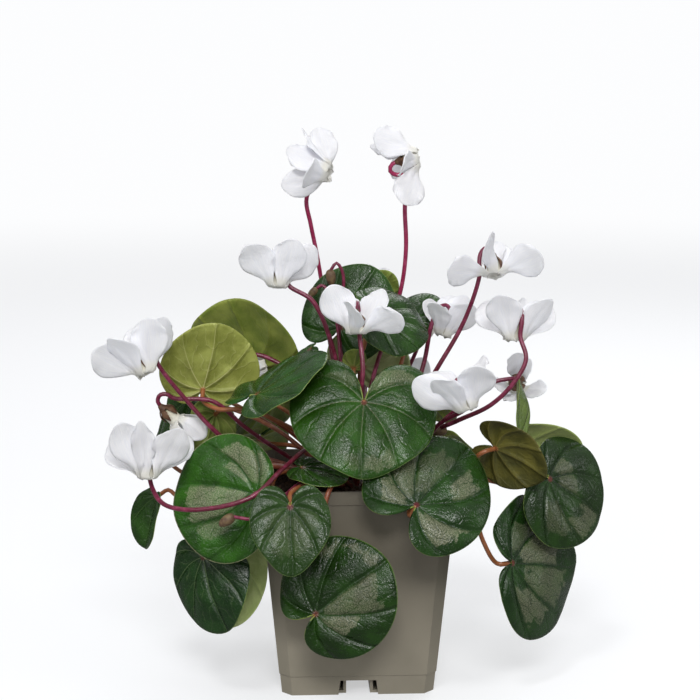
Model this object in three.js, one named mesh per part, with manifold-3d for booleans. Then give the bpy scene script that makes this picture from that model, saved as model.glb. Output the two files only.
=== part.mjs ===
// Potted cyclamen: a square nursery pot, its soil, and a round-leaved cyclamen with white flowers.
// Millimetres, +Z up. The origin is on the floor under the middle of the pot, and -Y is the front.

import * as THREE from 'three';
import { mergeVertices } from 'three/addons/utils/BufferGeometryUtils.js';
import Module from 'manifold-3d';

const wasm = await Module();
wasm.setup();

// Driving dimensions

const CLEARANCE = 0.3;

// Edges shorter than this are dropped where pieces are fused.
const FUSED_DETAIL = 0.15;

const SOIL_SEED = 11;

const POT = {
  height: 98,
  topHalf: 45,
  baseHalf: 35.4,
  cornerCut: 6.2,
  wall: 1.3,
  rimBand: 6,
  rimStep: 0.5,
  rimSlope: 0.6,
  stepLine: 9,
  stepIn: 0.35,
  stepSlope: 0.4,
  drainSides: 8,
  channelWidth: 11,
  channelHeight: 7,
  notchWidth: 18.5,
  notchTopWidth: 16.5,
  drainRadius: 4,
  drainPlace: 17,
};

const SOIL = { level: 90.5, lump: 1.1, spacing: 15 };

const CORM = {
  radius: 16,
  halfHeight: 9,
  middle: 85.5,
  crownRadius: 8.5,
  rootShare: 0.3,
  rootSink: 1.4,
  sides: 12,
  rings: 8,
};

// Stalk radii, then the lengths of their straight steps: a petiole, one that drapes over the rim, a scape.
const STALK = {
  petiole: 1.15,
  scape: 1.05,
  bud: 0.85,
  sides: 5,
  petioleStep: 18,
  drapedStep: 10,
  scapeStep: 15,
  crowding: 0.6,
  arrivalSlope: 0.55,
  arrivalLength: 5,
  archLift: 6,
};

// Angles in radians from the tip: where a lobe starts to draw in, and half the open sinus.
const BLADE = {
  thickness: 0.7,
  sinusHalfAngle: 0.3,
  lobeStart: 1.9,
  lobeDraw: 0.92,
  point: 0.05,
  pointAngle: 0.35,
  seatGap: 0.4,
  largeLength: 40,
  smallLength: 30,
};

const FLOWER = {
  tubeLength: 7,
  tubeNeck: 2.6,
  mouth: 3.5,
  petalLength: 24,
  petalHalfWidth: 8.6,
  petalCup: 0.16,
  thickness: 0.6,
  twist: 17,
  tubeFloor: 3,
  rim: 1.4,
  sides: 6,
};

// The top of a flower stalk, as depths along the flower's line and distances out from it: it passes the
// mouth, turns over behind the flower and comes down into the calyx.
const HOOK = [[5, 7], [-1, 7], [-4.9, 6], [-6.8, 3.5], [-5.5, 0.8], [-3, 0]];

const CALYX = { radius: 2.5, base: 1, length: 3, sides: 6, gap: 0.6 };

const BUD = { width: 0.59, sink: 1, sides: 7, rings: 5 };

// A petal's outline as shares of its length and widest half width, and where it leaves the mouth's
// edge. The first foot stands at an angle from the stalk's side, and the others follow evenly. A
// petal leans over from its foot's angle to its own: by the share rootLean at the mouth's edge, and
// by `leant` of its length it faces its own way.
const PETAL = {
  steps: [0, 0.14, 0.42, 0.75, 1],
  columns: 2,
  claw: 0.2,
  tip: 0.66,
  widest: 0.58,
  round: 0.16,
  rootIn: -0.7,
  rootOut: 1.0,
  rootDown: 0.6,
  firstRoot: 36,
  rootStep: 72,
  rootLean: 0.5,
  leant: 0.4,
};

// Leaf blades: where the stalk meets the blade, which way the upper side faces, which way the tip
// points, then the reach of the tip, the reach of the lobes behind the stalk, and the whole width.
// dome bends the rim down, fold lifts both halves from the midrib, point draws the tip out.

const LEAVES = [
  { name: 'leaf_front_middle', at: [2, -42, 138], face: [0, -8, 6], tip: [-1, -6, -8],
    size: [33, 30, 66], dome: 0.1 },
  { name: 'leaf_front_right', at: [24, -61, 96], face: [1, -8, 6], tip: [7, 5, 6],
    size: [38, 21, 57], dome: 0.1 },
  { name: 'leaf_front_low', at: [-20, -63, 48], face: [-3, -9, 2], tip: [7, -1, 6],
    size: [38, 15, 54], dome: 0.1 },
  { name: 'leaf_front_heart', at: [-31, -66, 97], face: [0, -8, 4], tip: [0, -4, -8],
    size: [25, 13, 35], dome: 0.06, fold: 0.12, point: 0.2 },
  { name: 'leaf_left_silver', at: [-46, -51, 99], face: [-3, -8, 3], tip: [-9, 4, -2],
    size: [39, 11, 58], dome: 0.08 },
  { name: 'leaf_left_low', at: [-70, -38, 67], face: [-5, -8, 2], tip: [2, -4, -9],
    size: [33, 14, 40], dome: 0.08 },
  { name: 'leaf_left_low_back', at: [-61, -12, 67], face: [6, 8, -2], tip: [2, -3, -9],
    size: [38, 14, 50], dome: 0.12 },
  { name: 'leaf_left_small', at: [-92, -17, 90], face: [-8, -6, 2], tip: [-2, 0, -10],
    size: [24, 4, 22], fold: 0.4 },
  { name: 'leaf_left_edge', at: [-94, 13, 104], face: [-10, -2, 2], tip: [1, 0, 10],
    size: [23, 12, 28], dome: 0.1 },
  { name: 'leaf_left_upright', at: [-71, -1, 137], face: [-2, 9, 2], tip: [2, 0, 9],
    size: [32, 10, 47], dome: 0.1 },
  { name: 'leaf_left_back', at: [-47, 32, 142], face: [4, 8, 4], tip: [-3, -4, 8],
    size: [38, 12, 58], dome: 0.1 },
  { name: 'leaf_left_flat', at: [-45, -35, 141], face: [-5, -2, 9], tip: [8, 3, 5],
    size: [35, 17, 50], dome: 0.06 },
  { name: 'leaf_top_left', at: [-6, 15, 163], face: [-2, -9, 3], tip: [5, 3, 8],
    size: [32, 17, 45], dome: 0.08 },
  { name: 'leaf_top_right', at: [11, -8, 173], face: [4, -6, 8], tip: [9, 2, -3],
    size: [25, 15, 42], dome: 0.1 },
  { name: 'leaf_top_back', at: [7, 37, 174], face: [0, 9, 4], tip: [6, -3, 7],
    size: [19, 8, 24], dome: 0.1 },
  { name: 'leaf_top_right_back', at: [30, 25, 166], face: [0, -6, 8], tip: [4, 6, 5],
    size: [20, 8, 24], dome: 0.1 },
  { name: 'leaf_middle_pale', at: [6, 34, 141], face: [0, 9, 3], tip: [4, -3, 8],
    size: [22, 12, 42], dome: 0.08 },
  { name: 'leaf_middle_thin', at: [-21, -5, 156], face: [-5, -2, 9], tip: [-9, 0, -5],
    size: [10, 5, 16], dome: 0.1 },
  { name: 'leaf_middle_young', at: [-1, -9, 148], face: [0, 8, 5], tip: [1, -5, 8],
    size: [11, 4, 11], fold: 0.3 },
  { name: 'leaf_right_olive', at: [62, -34, 115], face: [5, 8, 4], tip: [8, -4, -4],
    size: [25, 14, 36], dome: 0.06 },
  { name: 'leaf_right_upright', at: [73, -26, 117], face: [9, -4, 1], tip: [1, 2, 9],
    size: [27, 4, 20], fold: 0.3 },
  { name: 'leaf_right_pale', at: [80, 8, 105], face: [1, 8, 5], tip: [9, 0, 3],
    size: [28, 8, 36], dome: 0.1 },
  { name: 'leaf_right', at: [88.5, -24, 98], face: [5, -8, 4], tip: [7, 2, -5],
    size: [34, 13, 55], dome: 0.1 },
  { name: 'leaf_right_low', at: [69, -43, 64], face: [6, -7, 3], tip: [8, 5, -2],
    size: [45, 11, 66], dome: 0.12 },
  { name: 'leaf_rim_left', at: [-25, -37, 107.5], face: [0, -3, 9], tip: [9, -3, -1],
    size: [20, 8, 24], dome: 0.06 },
  { name: 'leaf_left_hidden', at: [-66, 15, 122], face: [-6, 8, -1], tip: [-3, -4, -9],
    size: [20, 8, 28], dome: 0.08 },
  { name: 'leaf_left_dark', at: [-79, 24, 129], face: [-7, -7, 1], tip: [-6, 5, -7],
    size: [17, 8, 24], dome: 0.08 },
  { name: 'leaf_back_low_left', at: [-20, 60, 72], face: [-2, 8, 3], tip: [-1, 3, -8],
    size: [32, 12, 46], dome: 0.1 },
  { name: 'leaf_back_low_right', at: [24, 61, 58], face: [2, 8, 2], tip: [1, 2, -8],
    size: [30, 12, 44], dome: 0.1 },
  { name: 'leaf_back_rim', at: [0, 52, 105], face: [0, 6, 8], tip: [1, 7, -5],
    size: [33, 14, 50], dome: 0.1 },
  { name: 'leaf_back_left', at: [-46, 42, 104], face: [-5, 6, 7], tip: [-6, 5, -4],
    size: [30, 12, 46], dome: 0.1 },
  { name: 'leaf_back_right', at: [46, 46, 101], face: [5, 6, 7], tip: [6, 5, -5],
    size: [28, 12, 42], dome: 0.1 },
  { name: 'leaf_back_high', at: [-16, 48, 137], face: [-2, 7, 7], tip: [-2, 8, -4],
    size: [28, 12, 40], dome: 0.1 },
  { name: 'leaf_back_high_left', at: [-40, 42, 122], face: [-5, 6, 7], tip: [-6, 5, -3],
    size: [24, 10, 36], dome: 0.1 },
  { name: 'leaf_back_high_right', at: [35, 26, 129], face: [5, 5, 7], tip: [7, 5, -1],
    size: [20, 10, 32], dome: 0.1 },
];

// Stalk routes between the corm and the blade, only where a plain arch would not do.

const PETIOLE_ROUTES = {
  leaf_front_right: [[15, -42, 103], [22, -53, 99]],
  leaf_front_low: [[-10, -39, 102.5], [-14, -47.5, 98.5], [-17, -48.5, 84], [-19, -48.5, 68], [-18, -53, 54]],
  leaf_front_heart: [[-25, -42, 100.5], [-31, -56, 100]],
  leaf_left_silver: [[-36, -37, 105]],
  leaf_left_low: [[-45, -20, 104], [-62, -28, 92]],
  leaf_left_low_back: [[-46, -14, 103], [-58, -24, 88]],
  leaf_left_small: [[-46, -8, 103], [-66, -12, 93], [-82, -14, 89]],
  leaf_left_edge: [[-50, 6, 103], [-78, 12, 93]],
  leaf_left_upright: [[-28, -8, 116], [-48, -16, 130], [-63, -14, 130]],
  leaf_left_back: [[-28, 26, 126]],
  leaf_top_right: [[-6, -6, 140], [4, -4, 157]],
  leaf_middle_pale: [[4, 20, 122]],
  leaf_top_back: [[3, 17, 138], [4, 20, 160]],
  leaf_top_right_back: [[22, 18, 142]],
  leaf_right_olive: [[30, -14, 104], [48, -26, 106]],
  leaf_right_upright: [[34, -8, 103], [60, -16, 104]],
  leaf_right_pale: [[40, -2, 103]],
  leaf_right: [[30, -12, 101], [58, -23, 98], [74, -23, 95]],
  leaf_right_low: [[38, -33, 105], [49, -45, 95], [55, -47, 76]],
  leaf_back_low_left: [[-14, 44, 103], [-19, 55, 92]],
  leaf_back_low_right: [[14, 44, 102], [23, 56, 84]],
  leaf_back_high: [[-4, 24, 118]],
};

// Flowers: the middle of the mouth, which way the mouth looks, the side on which the flower stalk
// comes in between two petals, and the stalk's route. Each petal has its turn from that side, about
// the way the mouth looks, and how far it spreads from the stalk end, both in degrees. Where they are
// not the usual ones, its own propeller twist in degrees and its width as a share of the full one
// follow. A stalk that comes from behind its flower starts further along the hook.

const FLOWERS = [
  { name: 'bloom_top_left', mouth: [-12, 5, 237], look: [8, -3, -2], gap: [2, 8, -3], grown: 0.87,
    petals: [
      [88, 50, -65], [119, 38, 15, 0.6], [146, 14, -15, 0.85], [196, 82, -10, 0.95],
      [243, 24, 40, 0.9],
    ],
    route: [
      [-6, 12, 129], [-11, 26, 156], [-14, 32, 179], [-17, 29, 197], [-20, 23, 212], [-22, 18, 224],
    ], hookFrom: 1 },
  { name: 'bloom_top_middle', mouth: [29, 3, 244], look: [9, -1, 2], gap: [-3, 3, -9], grown: 0.9,
    petals: [
      [65, 46, 25, 0.9], [150, 16, -50, 0.65], [196, 36, -40, 0.95], [260, 68, -35, 0.7],
      [302, 62, 60],
    ],
    route: [[8, 12, 134], [16, 21, 159], [23, 23, 180], [25, 18, 200], [24, 13, 218]], hookFrom: 1 },
  { name: 'bloom_upper_left', mouth: [-36, -18, 187], look: [-1, -2, -9], gap: [6, 6, -2], grown: 0.95,
    petals: [[53, 26, -60], [112, 24, -15], [181, 46, 40], [250, 36, -20, 0.9], [302, 36, 0, 0.9]],
    route: [[-7, -10, 138], [-11, -14, 159], [-20, -15, 180]] },
  { name: 'bloom_middle', mouth: [-1, -34, 168], look: [0, -2, -9], gap: [2, 9, 0], grown: 0.95,
    petals: [
      [47, 27, 30, 0.8], [124, 74, -50, 0.95], [177, 60, -45, 0.7], [219, 24, 45],
      [314, 26, -15, 0.9],
    ],
    route: [[0, -20, 116], [1, -33, 139], [2, -33, 152]] },
  { name: 'bloom_left', mouth: [-95, -24, 149], look: [3, -2, -8], gap: [7, 4, 0],
    petals: [[44, 30, -40, 0.95], [68, 24, -50], [142, 40, -10, 0.8], [170, 48, 50], [294, 20, 25, 0.9]],
    route: [[-40, -10, 103], [-61, -17, 117], [-80, -18, 138]] },
  { name: 'bloom_right_high', mouth: [62, -20, 192], look: [0, -4, -8], gap: [-7, 4, -2],
    petals: [
      [80, 26, 5, 0.8], [112, 48, 55, 0.9], [199, 86, -55, 0.95], [245, 64, 60, 0.6],
      [288, 100, 55, 0.85],
    ],
    route: [[23, -5, 122], [38, -9, 148], [50, -10, 170]] },
  { name: 'bloom_right', mouth: [70, -31, 164], look: [-1, -1, -9], gap: [2, -9, 0], grown: 0.95,
    petals: [[55, 32, 30], [160, 46, -45], [212, 32, -30, 0.6], [249, 38, 45], [308, 28, -30, 0.9]],
    route: [[25, -15, 114], [45, -30, 127], [59, -39, 136], [69, -42, 147], [74, -41, 157]] },
  { name: 'bloom_middle_right', mouth: [46, -60, 138], look: [3, -2, -8], gap: [2, 9, -2],
    petals: [[56, 34, 15, 0.6], [151, 50, -30, 0.95], [201, 46, -10, 0.8], [256, 32, 65], [312, 28, -20]],
    route: [[26, -20, 109], [36, -34, 126]] },
  { name: 'bloom_left_low', mouth: [-94, -42, 105], look: [0, -1, -9], gap: [0, 9, 0], grown: 1.1,
    petals: [
      [46, 50, 30, 0.9], [122, 32, -45, 0.85], [200, 8, 10, 0.5], [238, 18, 50, 0.95],
      [318, 60, -35, 0.8],
    ],
    route: [
      [-20, -28, 114.5], [-34, -49, 110], [-48, -60, 100], [-71, -57, 94], [-86, -48, 94], [-92, -39, 99],
    ] },
  { name: 'bloom_right_back', mouth: [42, 12, 160], look: [-3, -1, -8], gap: [-9, -3, 0], grown: 0.9,
    petals: [[88, 48, -5, 0.8], [115, 24, 5], [145, 4, 5], [265, 34, -20, 0.9], [316, 52, 0, 0.75]],
    route: [[24, 4, 122], [33, 10, 146]] },
  { name: 'bloom_top_back', mouth: [9, 60, 168], look: [0, 3, -9], gap: [0, -9, 0], grown: 0.8,
    petals: [[60, 20], [120, 20], [180, 18], [240, 20], [300, 20]],
    route: [[5, 24, 116], [8, 52, 136], [9, 50, 158]] },
  { name: 'bloom_top_right_back', mouth: [38, 57, 153], look: [3, 2, -9], gap: [-4, -8, 0], grown: 0.8,
    petals: [[60, 22], [120, 22], [180, 20], [240, 22], [300, 20]],
    route: [[17, 26, 110], [25, 50, 128]] },
  { name: 'bloom_right_nodding', mouth: [76, -1, 138], look: [1, 8, -3], gap: [-6, 0, 6], grown: 0.7,
    petals: [
      [44, 26, 25, 0.85], [80, 20, -45, 0.7], [158, 36, -15, 0.8], [232, 22, 20, 0.8],
      [284, 24, 5, 0.75],
    ],
    route: [[25, -6, 108], [46, -12, 128], [62, -13, 141]], hookFrom: 4 },
  { name: 'bloom_left_back', mouth: [-42, 16, 144], look: [9, 1, 2], gap: [0, 0, 9], grown: 0.65,
    petals: [[60, 38], [120, 38], [180, 42], [240, 38], [300, 38]],
    route: [[-14, 9, 130], [-28, 13, 142]] },
  { name: 'bloom_left_nodding', mouth: [-83, -9, 124], look: [6, 1, -6], gap: [6, 0, 6], grown: 0.6,
    petals: [[60, 166], [120, 166], [180, 166], [240, 166], [300, 166]],
    route: [[-30, -2, 104], [-51, -8, 120], [-66, -10, 133]], hookFrom: 1 },
  { name: 'bloom_back', mouth: [24, 69, 118], look: [1, 4, -9], gap: [-2, -9, 0],
    petals: [[60, 40], [120, 34], [180, 44], [240, 36], [300, 40]],
    route: [[12, 28, 108], [18, 50, 113]], hookFrom: 1 },
];

// Buds on hooked stalks: route, then where the bud sits and which way it points.

const BUDS = [
  { route: [[-4, 6, 135], [-7, 12, 163], [-5, 16, 178], [-5, 16, 189], [-8, 16, 194], [-11, 16, 190]],
    look: [1, 0, -9], length: 8 },
  { route: [[-6, 4, 140], [-8, 8, 166], [-11, 10, 179], [-15, 11, 184], [-18, 11, 182]],
    look: [-3, 0, -3], length: 6 },
  { route: [[-22, -32, 101], [-32, -51, 99.5], [-38, -60, 95], [-46, -64, 91.5], [-56, -62, 92]],
    look: [-6, 0, -4], length: 8 },
  { route: [[24, -13, 108], [40, -23, 121]], look: [-9, -2, 1], length: 9 },
];

// Vector and mesh helpers

const vec = (list) => new THREE.Vector3(list[0], list[1], list[2]);

function direction(list) {
  return vec(list).normalize();
}

// An across direction squared up to an axis.
function squared(list, axis) {
  const d = vec(list);
  return d.addScaledVector(axis, -d.dot(axis)).normalize();
}

function toSolid(geometry) {
  const bare = geometry.clone();
  for (const key of Object.keys(bare.attributes)) {
    if (key !== 'position') {
      bare.deleteAttribute(key);
    }
  }
  const merged = mergeVertices(bare, 1e-4);
  return new wasm.Manifold(new wasm.Mesh({
    numProp: 3,
    vertProperties: new Float32Array(merged.attributes.position.array),
    triVerts: new Uint32Array(merged.index.array),
  }));
}

function toGeometry(solid) {
  const mesh = solid.getMesh();
  const geometry = new THREE.BufferGeometry();
  geometry.setAttribute('position', new THREE.BufferAttribute(new Float32Array(mesh.vertProperties), 3));
  geometry.setIndex(new THREE.BufferAttribute(new Uint32Array(mesh.triVerts), 1));
  return geometry;
}

// A fused body without its shortest edges. Decomposing it parts it from any hollow that the fusing
// sealed, so that its largest body comes out filled.
function fusedGeometry(solid) {
  const bodies = solid.simplify(FUSED_DETAIL).decompose();
  bodies.sort((a, b) => b.volume() - a.volume());
  return toGeometry(bodies[0]);
}

// One layer of triangles, seen from its upper side, becomes a closed sheet of even thickness.
function thicken(points, faces, thickness) {
  const normals = points.map(() => new THREE.Vector3());
  for (const [a, b, c] of faces) {
    const ab = points[b].clone().sub(points[a]);
    const ac = points[c].clone().sub(points[a]);
    const normal = ab.cross(ac);
    for (const corner of [a, b, c]) {
      normals[corner].add(normal);
    }
  }
  const count = points.length;
  const position = [];
  for (const side of [0.5, -0.5]) {
    points.forEach((point, i) => {
      const moved = point.clone().addScaledVector(normals[i].normalize(), side * thickness);
      position.push(moved.x, moved.y, moved.z);
    });
  }
  const index = [];
  const edges = new Map();
  for (const [a, b, c] of faces) {
    index.push(a, b, c);
    index.push(count + a, count + c, count + b);
    for (const [from, to] of [[a, b], [b, c], [c, a]]) {
      edges.set(`${from}_${to}`, [from, to]);
    }
  }
  for (const [from, to] of edges.values()) {
    if (!edges.has(`${to}_${from}`)) {
      index.push(from, count + from, count + to);
      index.push(from, count + to, to);
    }
  }
  const geometry = new THREE.BufferGeometry();
  geometry.setAttribute('position', new THREE.Float32BufferAttribute(position, 3));
  geometry.setIndex(index);
  return geometry;
}

// A square with cut corners
function squareRing(half, cut, z) {
  const short = half - cut;
  return [
    [half, -short], [half, short], [short, half], [-short, half],
    [-half, short], [-half, -short], [-short, -half], [short, -half],
  ].map(([x, y]) => new THREE.Vector3(x, y, z));
}

// A closed body through a stack of rings with the same number of points, lowest first.
function loft(rings) {
  const position = [];
  const index = [];
  const n = rings[0].length;
  for (const ring of rings) {
    for (const p of ring) {
      position.push(p.x, p.y, p.z);
    }
  }
  for (let k = 0; k + 1 < rings.length; k += 1) {
    for (let i = 0; i < n; i += 1) {
      const a = k * n + i;
      const b = k * n + (i + 1) % n;
      index.push(a, b, b + n);
      index.push(a, b + n, a + n);
    }
  }
  const top = (rings.length - 1) * n;
  for (let i = 1; i + 1 < n; i += 1) {
    index.push(0, i + 1, i);
    index.push(top, top + i, top + i + 1);
  }
  const geometry = new THREE.BufferGeometry();
  geometry.setAttribute('position', new THREE.Float32BufferAttribute(position, 3));
  geometry.setIndex(index);
  return geometry;
}

function box(sx, sy, sz, x, y, z) {
  return toSolid(new THREE.BoxGeometry(sx, sy, sz).translate(x, y, z));
}

// Pot

// A square moved in by an even distance has its corner cuts shortened by this share of it.
const CUT_SHRINK = 2 - Math.SQRT2;

// Half the outer width at a height, on the straight taper.
function potHalf(z) {
  return POT.baseHalf + (POT.topHalf - POT.rimStep - POT.baseHalf) * z / POT.height;
}

function potCut(z) {
  return POT.cornerCut * potHalf(z) / POT.topHalf;
}

// The pot's inside, grown or shrunk by an offset, between two heights.
function potInside(offset, low, high) {
  const moved = offset - POT.wall;
  const ring = (z) => squareRing(potHalf(z) + moved, potCut(z) + CUT_SHRINK * moved, z);
  return toSolid(loft([ring(low), ring(high)]));
}

// The cross channel that crosses the floor both ways, as a bar of the given half width and height.
function crossBar(halfWidth, height) {
  const reach = 2 * POT.topHalf;
  const along = box(reach, 2 * halfWidth, height + 1, 0, 0, (height - 1) / 2);
  return along.add(box(2 * halfWidth, reach, height + 1, 0, 0, (height - 1) / 2));
}

// A notch in the foot of each side wall, a little narrower at its top.
function footNotch(turn) {
  const low = POT.notchWidth / 2;
  const high = POT.notchTopWidth / 2;
  const inner = POT.baseHalf - 2 * POT.wall;
  const outer = POT.baseHalf + 2 * POT.wall;
  const ring = (half, z) => [
    new THREE.Vector3(-half, inner, z), new THREE.Vector3(half, inner, z),
    new THREE.Vector3(half, outer, z), new THREE.Vector3(-half, outer, z),
  ];
  return toSolid(loft([ring(low, -1), ring(high, POT.channelHeight)]).rotateZ(turn));
}

function potGeometry() {
  const bandLow = POT.height - POT.rimBand;
  const ringAt = (z, grow) => squareRing(potHalf(z) + grow, potCut(z) + CUT_SHRINK * grow, z);
  const shell = loft([
    ringAt(0, -POT.stepIn),
    ringAt(POT.stepLine, -POT.stepIn),
    ringAt(POT.stepLine + POT.stepSlope, 0),
    ringAt(bandLow - POT.rimSlope, 0),
    ringAt(bandLow, POT.rimStep),
    ringAt(POT.height, POT.rimStep),
  ]);
  const barHalf = POT.channelWidth / 2;
  const cavity = potInside(0, POT.wall, POT.height + 1)
    .subtract(crossBar(barHalf + POT.wall, POT.channelHeight + POT.wall));
  let pot = toSolid(shell).subtract(cavity).subtract(crossBar(barHalf, POT.channelHeight));
  for (let side = 0; side < 4; side += 1) {
    const turn = side * Math.PI / 2;
    pot = pot.subtract(footNotch(turn));
    const drain = new THREE.CylinderGeometry(POT.drainRadius, POT.drainRadius, 4 * POT.wall, POT.drainSides);
    drain.rotateX(Math.PI / 2).translate(POT.drainPlace, POT.drainPlace, 0).rotateZ(turn);
    pot = pot.subtract(toSolid(drain));
  }
  return toGeometry(pot);
}

// Soil and corm

// Repeatable random numbers from 0 to 1.
function seededRandom(seed) {
  let state = seed;
  return () => {
    state = (state * 1664525 + 1013904223) % 4294967296;
    return state / 4294967296;
  };
}

function cormGeometry(grow) {
  const geometry = new THREE.SphereGeometry(1, CORM.sides, CORM.rings).rotateX(Math.PI / 2);
  geometry.scale(CORM.radius + grow, CORM.radius + grow, CORM.halfHeight + grow);
  return geometry.translate(0, 0, CORM.middle);
}

function soilGeometry() {
  const random = seededRandom(SOIL_SEED);
  const cells = Math.ceil(2 * POT.topHalf / SOIL.spacing);
  const half = cells * SOIL.spacing / 2;
  const block = new THREE.BoxGeometry(2 * half, 2 * half, SOIL.level, cells, cells, 1);
  block.translate(0, 0, SOIL.level / 2);
  const heights = new Map();
  const place = block.attributes.position;
  for (let i = 0; i < place.count; i += 1) {
    if (place.getZ(i) > SOIL.level - 1) {
      const key = `${Math.round(place.getX(i))}_${Math.round(place.getY(i))}`;
      if (!heights.has(key)) {
        heights.set(key, SOIL.level + SOIL.lump * (2 * random() - 1));
      }
      place.setZ(i, heights.get(key));
    }
  }
  const floor = POT.wall + CLEARANCE;
  const bar = crossBar(POT.channelWidth / 2 + POT.wall + CLEARANCE, POT.channelHeight + POT.wall + CLEARANCE);
  const soil = potInside(-CLEARANCE, floor, POT.height)
    .subtract(bar)
    .intersect(toSolid(block))
    .subtract(toSolid(cormGeometry(CLEARANCE)));
  return toGeometry(soil);
}

// Leaf blades

// The outline's distance from the stalk point, with the tip at angle 0 and the sinus at 180 degrees:
// an oval that holds the stalk point off its middle, drawn in to round lobes on both sides of the sinus.
function bladeReach(leaf, angle) {
  const [tip, back, width] = leaf.size;
  const a = (tip + back) / 2;
  const b = width / 2;
  const shift = (tip - back) / 2;
  const c = Math.cos(angle);
  const s = Math.sin(angle);
  const k = (c * c) / (a * a) + (s * s) / (b * b);
  const half = shift * c / (a * a);
  const oval = (half + Math.sqrt(half * half - k * (shift * shift / (a * a) - 1))) / k;
  const lobeEnd = Math.PI - BLADE.sinusHalfAngle;
  const t = Math.max(0, (Math.abs(angle) - BLADE.lobeStart) / (lobeEnd - BLADE.lobeStart));
  const lobe = Math.sqrt(1 - BLADE.lobeDraw * t ** 3);
  const point = 1 + (leaf.point ?? BLADE.point) * Math.exp(-((angle / BLADE.pointAngle) ** 2));
  return oval * lobe * point;
}

// How far the blade stands out of its flat plane.
function bladeRise(leaf, x, y) {
  const [tip, , width] = leaf.size;
  const r2 = (x * x) / (tip * tip) + 4 * (y * y) / (width * width);
  const dome = (leaf.dome ?? 0) * tip * r2;
  const fold = (leaf.fold ?? 0) * Math.abs(y);
  return fold - dome;
}

function bladeFrame(leaf) {
  const face = direction(leaf.face);
  const tip = squared(leaf.tip, face);
  const across = face.clone().cross(tip);
  return { face, tip, across };
}

function bladeGeometry(leaf) {
  const length = leaf.size[0] + leaf.size[1];
  const sectors = length > BLADE.largeLength ? 14 : 10;
  const rings = length > BLADE.smallLength ? [0.55, 1] : [1];
  const { face, tip, across } = bladeFrame(leaf);
  const middle = vec(leaf.at);
  const spread = Math.PI - BLADE.sinusHalfAngle;
  const points = [middle];
  for (let j = 0; j <= sectors; j += 1) {
    const angle = spread * (2 * j / sectors - 1);
    const reach = bladeReach(leaf, angle);
    for (const part of rings) {
      const x = reach * part * Math.cos(angle);
      const y = reach * part * Math.sin(angle);
      const point = middle.clone().addScaledVector(tip, x).addScaledVector(across, y);
      points.push(point.addScaledVector(face, bladeRise(leaf, x, y)));
    }
  }
  const faces = [];
  const at = (j, k) => 1 + j * rings.length + k;
  for (let j = 0; j < sectors; j += 1) {
    faces.push([0, at(j, 0), at(j + 1, 0)]);
    for (let k = 0; k + 1 < rings.length; k += 1) {
      faces.push([at(j, k), at(j, k + 1), at(j + 1, k + 1)]);
      faces.push([at(j, k), at(j + 1, k + 1), at(j + 1, k)]);
    }
  }
  return thicken(points, faces, BLADE.thickness);
}

// Flowers

function flowerFrame(flower) {
  const look = direction(flower.look);
  const gap = squared(flower.gap, look);
  const side = look.clone().cross(gap);
  const base = vec(flower.mouth).addScaledVector(look, -FLOWER.tubeLength);
  return { look, gap, side, base };
}

// Half the width of a petal along its length, as a share of its widest: a narrow claw, then a round
// blade. A narrow petal has a more pointed tip.
function petalWidth(s, wide) {
  const t = Math.min(1, s / PETAL.widest);
  const end = Math.max(0, (s - PETAL.widest) / (1 - PETAL.widest));
  const swell = (1 - PETAL.claw) * t * t * (3 - 2 * t) + PETAL.claw * t;
  return PETAL.claw * (1 - t) + wide * (swell - (1 - PETAL.tip * wide) * end * end);
}

// A point from an angle round the flower's own line, a radius, and a depth from the tube's closed end.
function flowerPoint(frame, angle, radius, depth) {
  const p = frame.base.clone().addScaledVector(frame.look, depth);
  p.addScaledVector(frame.gap, radius * Math.cos(angle));
  return p.addScaledVector(frame.side, radius * Math.sin(angle));
}

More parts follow.
